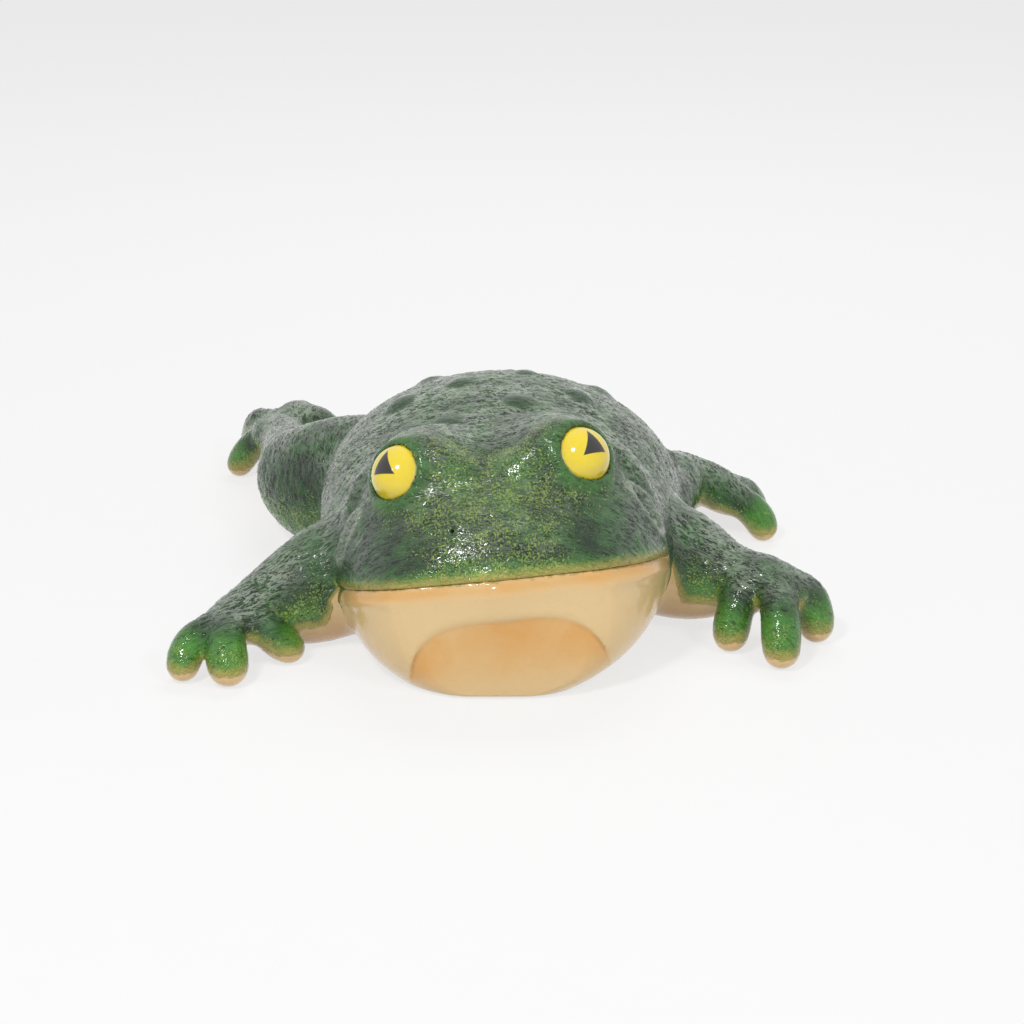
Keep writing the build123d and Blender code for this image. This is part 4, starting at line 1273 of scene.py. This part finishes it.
class FROG_OT_eyes(bpy.types.Operator):
    """Makes the two domed eyes"""
    bl_idname = "frog.eyes"
    bl_label = "Eyes"

    def execute(self, context):
        form = Form(context.scene.frog_sizes)
        material = eye_material(context.scene.frog_colours)
        radius = form.eye_radius
        rim = math.sqrt(radius**2 - EYE_BACK**2)
        profile = [(0.0, -EYE_BACK), (rim * 0.5, -EYE_BACK), (rim - EYE_BACK_ROUND, -EYE_BACK)]
        profile.append((rim - EYE_BACK_LIP[0], -EYE_BACK + EYE_BACK_LIP[1]))
        start = -math.asin((EYE_BACK - 0.6) / radius)
        for angle_at in np.linspace(start, math.pi / 2, EYE_RINGS, endpoint=False):
            profile.append((radius * math.cos(angle_at), radius * math.sin(angle_at)))
        profile.append((0.0, radius))
        for side, name in ((-1, "eye_right"), (1, "eye_left")):
            mound, heading, fore, upright = form.eye_axes(side)
            centre = mound + heading * EYE_SET_OUT

            def place(out, along, index):
                turn = 2 * math.pi * index / EYE_SEGMENTS
                return centre + (fore * math.cos(turn) + upright * math.sin(turn)) * out + heading * along

            piece, corners = turned_piece(name + "_dome", profile, EYE_SEGMENTS, place, material)
            look = (corners - centre) @ np.stack([fore, upright, heading], axis=1)
            set_field(piece.data, "look", look)
            hand_in(piece, name, "eye_enamel")
        return {"FINISHED"}


PAD_SEGMENTS, PAD_FUZZ = 160, 0.002
# Section of the pad's edge: out and up, as shares
PAD_PROFILE = (
    (0.0, 0.0), (0.35, 0.0), (0.7, 0.0), (0.93, 0.0), (0.985, 0.04), (0.997, 0.25), (1.0, 0.5),
    (0.997, 0.75), (0.985, 0.96), (0.93, 1.0), (0.7, 1.0), (0.35, 1.0), (0.0, 1.0),
)


class FROG_OT_pad(bpy.types.Operator):
    """Makes the felt pad under the belly"""
    bl_idname = "frog.pad"
    bl_label = "Felt pad"

    def execute(self, context):
        thickness = context.scene.frog_sizes.pad_thickness / MM

        def place(out, up, index):
            turn = 2 * math.pi * index / PAD_SEGMENTS
            reach = out / 2 * (1 - PAD_FUZZ * (1 + math.sin(index * 2.7) * math.sin(index * 1.3)))
            x, y = math.cos(turn) * reach * PAD_WIDTH, math.sin(turn) * reach * PAD_LENGTH
            return x, BASE_Y + y, up * thickness

        material = felt_material(context.scene.frog_colours)
        piece, _ = turned_piece("felt_pad", PAD_PROFILE, PAD_SEGMENTS, place, material)
        hand_in(piece, "base_pad", "felt")
        return {"FINISHED"}


def felt_material(colours):
    """Brown wool felt with matted fibres."""
    made, wires, shader = new_material("felt")
    place = wires.place()
    fibres = wires.noise(place, 900.0, 4.0, 0.7, 2.5)
    clumps = wires.noise(place, 140.0, 3.0, 0.6, 0.5, 3.0)
    lighter = wires.mix(0.4, colours.felt, colours.cream)
    colour = wires.mix(wires.step(fibres, 0.35, 0.7, 0.0, 0.7), colours.felt, lighter)
    colour = wires.mix(wires.step(clumps, 0.4, 0.7, 0.0, 0.5), colour, (0.05, 0.025, 0.012, 1))
    wires.fill(shader, {"Base Color": colour, "Roughness": 0.95, "Sheen Weight": 0.3})
    wires.relief(shader, wires.plus(fibres, clumps), 0.0006)
    return made


def plain_material(name, base, other, scale, stretch, rough, metal, depth):
    """Two-tone material with a stretched grain."""
    made, wires, shader = new_material(name)
    place = wires.place()
    mapping = wires.node("ShaderNodeMapping", {"Vector": place, "Scale": stretch})
    grain = wires.noise(mapping.outputs[0], scale, 4.0, 0.6, 0.3)
    stain = wires.noise(place, scale / 9, 3.0, 0.5, 0.0, 4.0)
    colour = wires.mix(wires.step(grain, 0.35, 0.68), (*base, 1), (*other, 1))
    darker = (*(value * 0.5 for value in base), 1)
    colour = wires.mix(wires.step(stain, 0.5, 0.75, 0.0, 0.35), colour, darker)
    wires.fill(shader, {
        "Base Color": colour, "Metallic": metal,
        "Roughness": wires.step(grain, 0.2, 0.8, rough - 0.1, rough + 0.1),
    })
    wires.relief(shader, grain, depth)
    return made


# Finishes by slot: two colours, grain scale and stretch, roughness, metal and relief in metres
FINISHES = {
    "dowel_steel": ((0.45, 0.45, 0.46), (0.62, 0.62, 0.64), 900, (0.05, 1, 1), 0.35, 1.0, 0.0001),
    "bonding_strip": ((0.62, 0.60, 0.48), (0.75, 0.73, 0.62), 700, (1, 1, 0.2), 0.6, 0.0, 0.0004),
    "peg_plastic": ((0.70, 0.68, 0.60), (0.80, 0.78, 0.70), 500, (1, 1, 1), 0.5, 0.0, 0.0001),
    "base_board": ((0.20, 0.15, 0.10), (0.30, 0.24, 0.17), 400, (1, 0.3, 1), 0.75, 0.0, 0.0003),
    "plug_rubber": ((0.02, 0.02, 0.02), (0.04, 0.04, 0.04), 600, (1, 1, 1), 0.7, 0.0, 0.0002),
}
INNER_SLOTS = {
    "dowel_front_right": "dowel_steel", "dowel_front_left": "dowel_steel",
    "dowel_hind_right": "dowel_steel", "dowel_hind_left": "dowel_steel",
    "seam_band": "bonding_strip", "seam_pegs": "peg_plastic",
    "base_plate": "base_board", "vent_plug": "plug_rubber",
}


class FROG_OT_inside(bpy.types.Operator):
    """Gives the pieces inside the frog their finishes"""
    bl_idname = "frog.inside"
    bl_label = "Inner pieces"

    def execute(self, context):
        finishes = {slot: plain_material(slot, *settings) for slot, settings in FINISHES.items()}
        for node, slot in INNER_SLOTS.items():
            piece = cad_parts[node]
            piece.data.materials.clear()
            piece.data.materials.append(finishes[slot])
        return {"FINISHED"}


# Floor half size and the point that the lamps face, in metres
FLOOR_REACH = 6.0
LAMP_AIM = (0, -0.02, 0.06)
# Lamps: name, place and size in metres, share of the key power, and whether varnish mirrors them
STUDIO_LAMPS = (
    ("key_light", (-0.60, -1.25, 1.55), (0.26, 0.26), 1.0, True),
    ("fill_light", (0.95, -1.35, 1.30), (0.35, 0.35), 0.5, False),
    ("rim_light", (0.20, 1.10, 1.70), (1.4, 0.7), 0.8, False),
)


class FROG_OT_stage(bpy.types.Operator):
    """Makes the floor, the lights and the camera"""
    bl_idname = "frog.stage"
    bl_label = "Floor, lights and camera"

    def execute(self, context):
        studio = context.scene.frog_studio
        mesh = bpy.data.meshes.new("floor")
        corners = [(x * FLOOR_REACH, y * FLOOR_REACH, 0) for x, y in ((-1, -1), (1, -1), (1, 1), (-1, 1))]
        mesh.from_pydata(corners, [], [(0, 1, 2, 3)])
        mesh.materials.append(floor_material())
        placed("floor", mesh)
        make_world(studio)
        for name, place, size, power, mirrored in STUDIO_LAMPS:
            lamp = bpy.data.lights.new(name, "AREA")
            lamp.shape = "RECTANGLE"
            lamp.size, lamp.size_y = size
            lamp.energy = power * studio.key_power
            holder = placed(name, lamp)
            holder.location = place
            holder.visible_glossy = mirrored
            holder.rotation_euler = (Vector(LAMP_AIM) - Vector(place)).to_track_quat("-Z", "Y").to_euler()
        camera = bpy.data.cameras.new("camera")
        camera.sensor_width = 36.0
        camera.lens = camera.sensor_width / 2 / math.tan(studio.view_angle / 2)
        holder = placed("camera", camera)
        back = Vector((0, -math.cos(studio.elevation), math.sin(studio.elevation)))
        holder.location = Vector(studio.look_at) + back * studio.distance
        holder.rotation_euler = (-back).to_track_quat("-Z", "Y").to_euler()
        context.scene.camera = holder
        context.scene.view_settings.view_transform = "Standard"
        return {"FINISHED"}


def seen_rays(wires):
    """Share that is 1 for rays that show a surface: from the camera, mirrored or let through."""
    light = wires.node("ShaderNodeLightPath").outputs
    kinds = "Is Camera Ray", "Is Glossy Ray", "Is Transmission Ray"
    return wires.maths("MAXIMUM", *(light[kind] for kind in kinds))


FLOOR_GLOW_SHARE = 0.72


def floor_material():
    """Pale floor that looks white and keeps a soft shadow."""
    made, wires, shader = new_material("pale_floor")
    grain = wires.noise(wires.place(), 40.0, 3.0, 0.6)
    wires.fill(shader, {
        "Base Color": wires.mix(grain, (0.80, 0.80, 0.80, 1), (0.84, 0.84, 0.84, 1)),
        "Roughness": 0.9, "Specular IOR Level": 0.0,
    })
    glow = wires.node("ShaderNodeEmission", {"Color": (1, 1, 1, 1), "Strength": 1.0})
    output = next(node for node in made.node_tree.nodes if node.type == "OUTPUT_MATERIAL")
    share = wires.times(seen_rays(wires), FLOOR_GLOW_SHARE)
    wires.feed(output.inputs["Surface"], wires.blend(share, shader, glow))
    return made


def make_world(studio):
    """Even pale light from all round, white where it is seen."""
    world = bpy.data.worlds.new("studio")
    bpy.context.scene.world = world
    world.use_nodes = True
    world.node_tree.nodes.clear()
    wires = Wires(world.node_tree)
    lit = wires.node("ShaderNodeBackground", {"Strength": studio.world_level})
    shown = wires.node("ShaderNodeBackground", {"Strength": 1.0})
    wires.node("ShaderNodeOutputWorld", {"Surface": wires.blend(seen_rays(wires), lit, shown)})


class FROG_PT_panel(bpy.types.Panel):
    """Lists the frog's making steps"""
    bl_idname = "FROG_PT_panel"
    bl_label = "Crawling frog"
    bl_space_type = "VIEW_3D"
    bl_region_type = "UI"
    bl_category = "Frog"

    def draw(self, context):
        for group in (context.scene.frog_sizes, context.scene.frog_colours, context.scene.frog_studio):
            for key in group.bl_rna.properties.keys():
                if key not in ("rna_type", "name"):
                    self.layout.prop(group, key)
        for step in STEPS:
            self.layout.operator(step.bl_idname)


STEPS = (FROG_OT_stage, FROG_OT_body, FROG_OT_limbs, FROG_OT_eyes, FROG_OT_pad, FROG_OT_inside)
CLASSES = (FrogSizes, FrogColours, FrogStudio, *STEPS, FROG_PT_panel)


def register():
    """Registers the classes and their properties."""
    for each in CLASSES:
        bpy.utils.register_class(each)
    bpy.types.Scene.frog_sizes = bpy.props.PointerProperty(type=FrogSizes)
    bpy.types.Scene.frog_colours = bpy.props.PointerProperty(type=FrogColours)
    bpy.types.Scene.frog_studio = bpy.props.PointerProperty(type=FrogStudio)


def unregister():
    """Removes the properties and the classes."""
    del bpy.types.Scene.frog_studio
    del bpy.types.Scene.frog_colours
    del bpy.types.Scene.frog_sizes
    for each in reversed(CLASSES):
        bpy.utils.unregister_class(each)


def main():
    """Makes the whole frog and its stage."""
    register()
    bpy.ops.frog.stage()
    bpy.ops.frog.body()
    bpy.ops.frog.limbs()
    bpy.ops.frog.eyes()
    bpy.ops.frog.pad()
    bpy.ops.frog.inside()


if __name__ == "__main__":
    main()
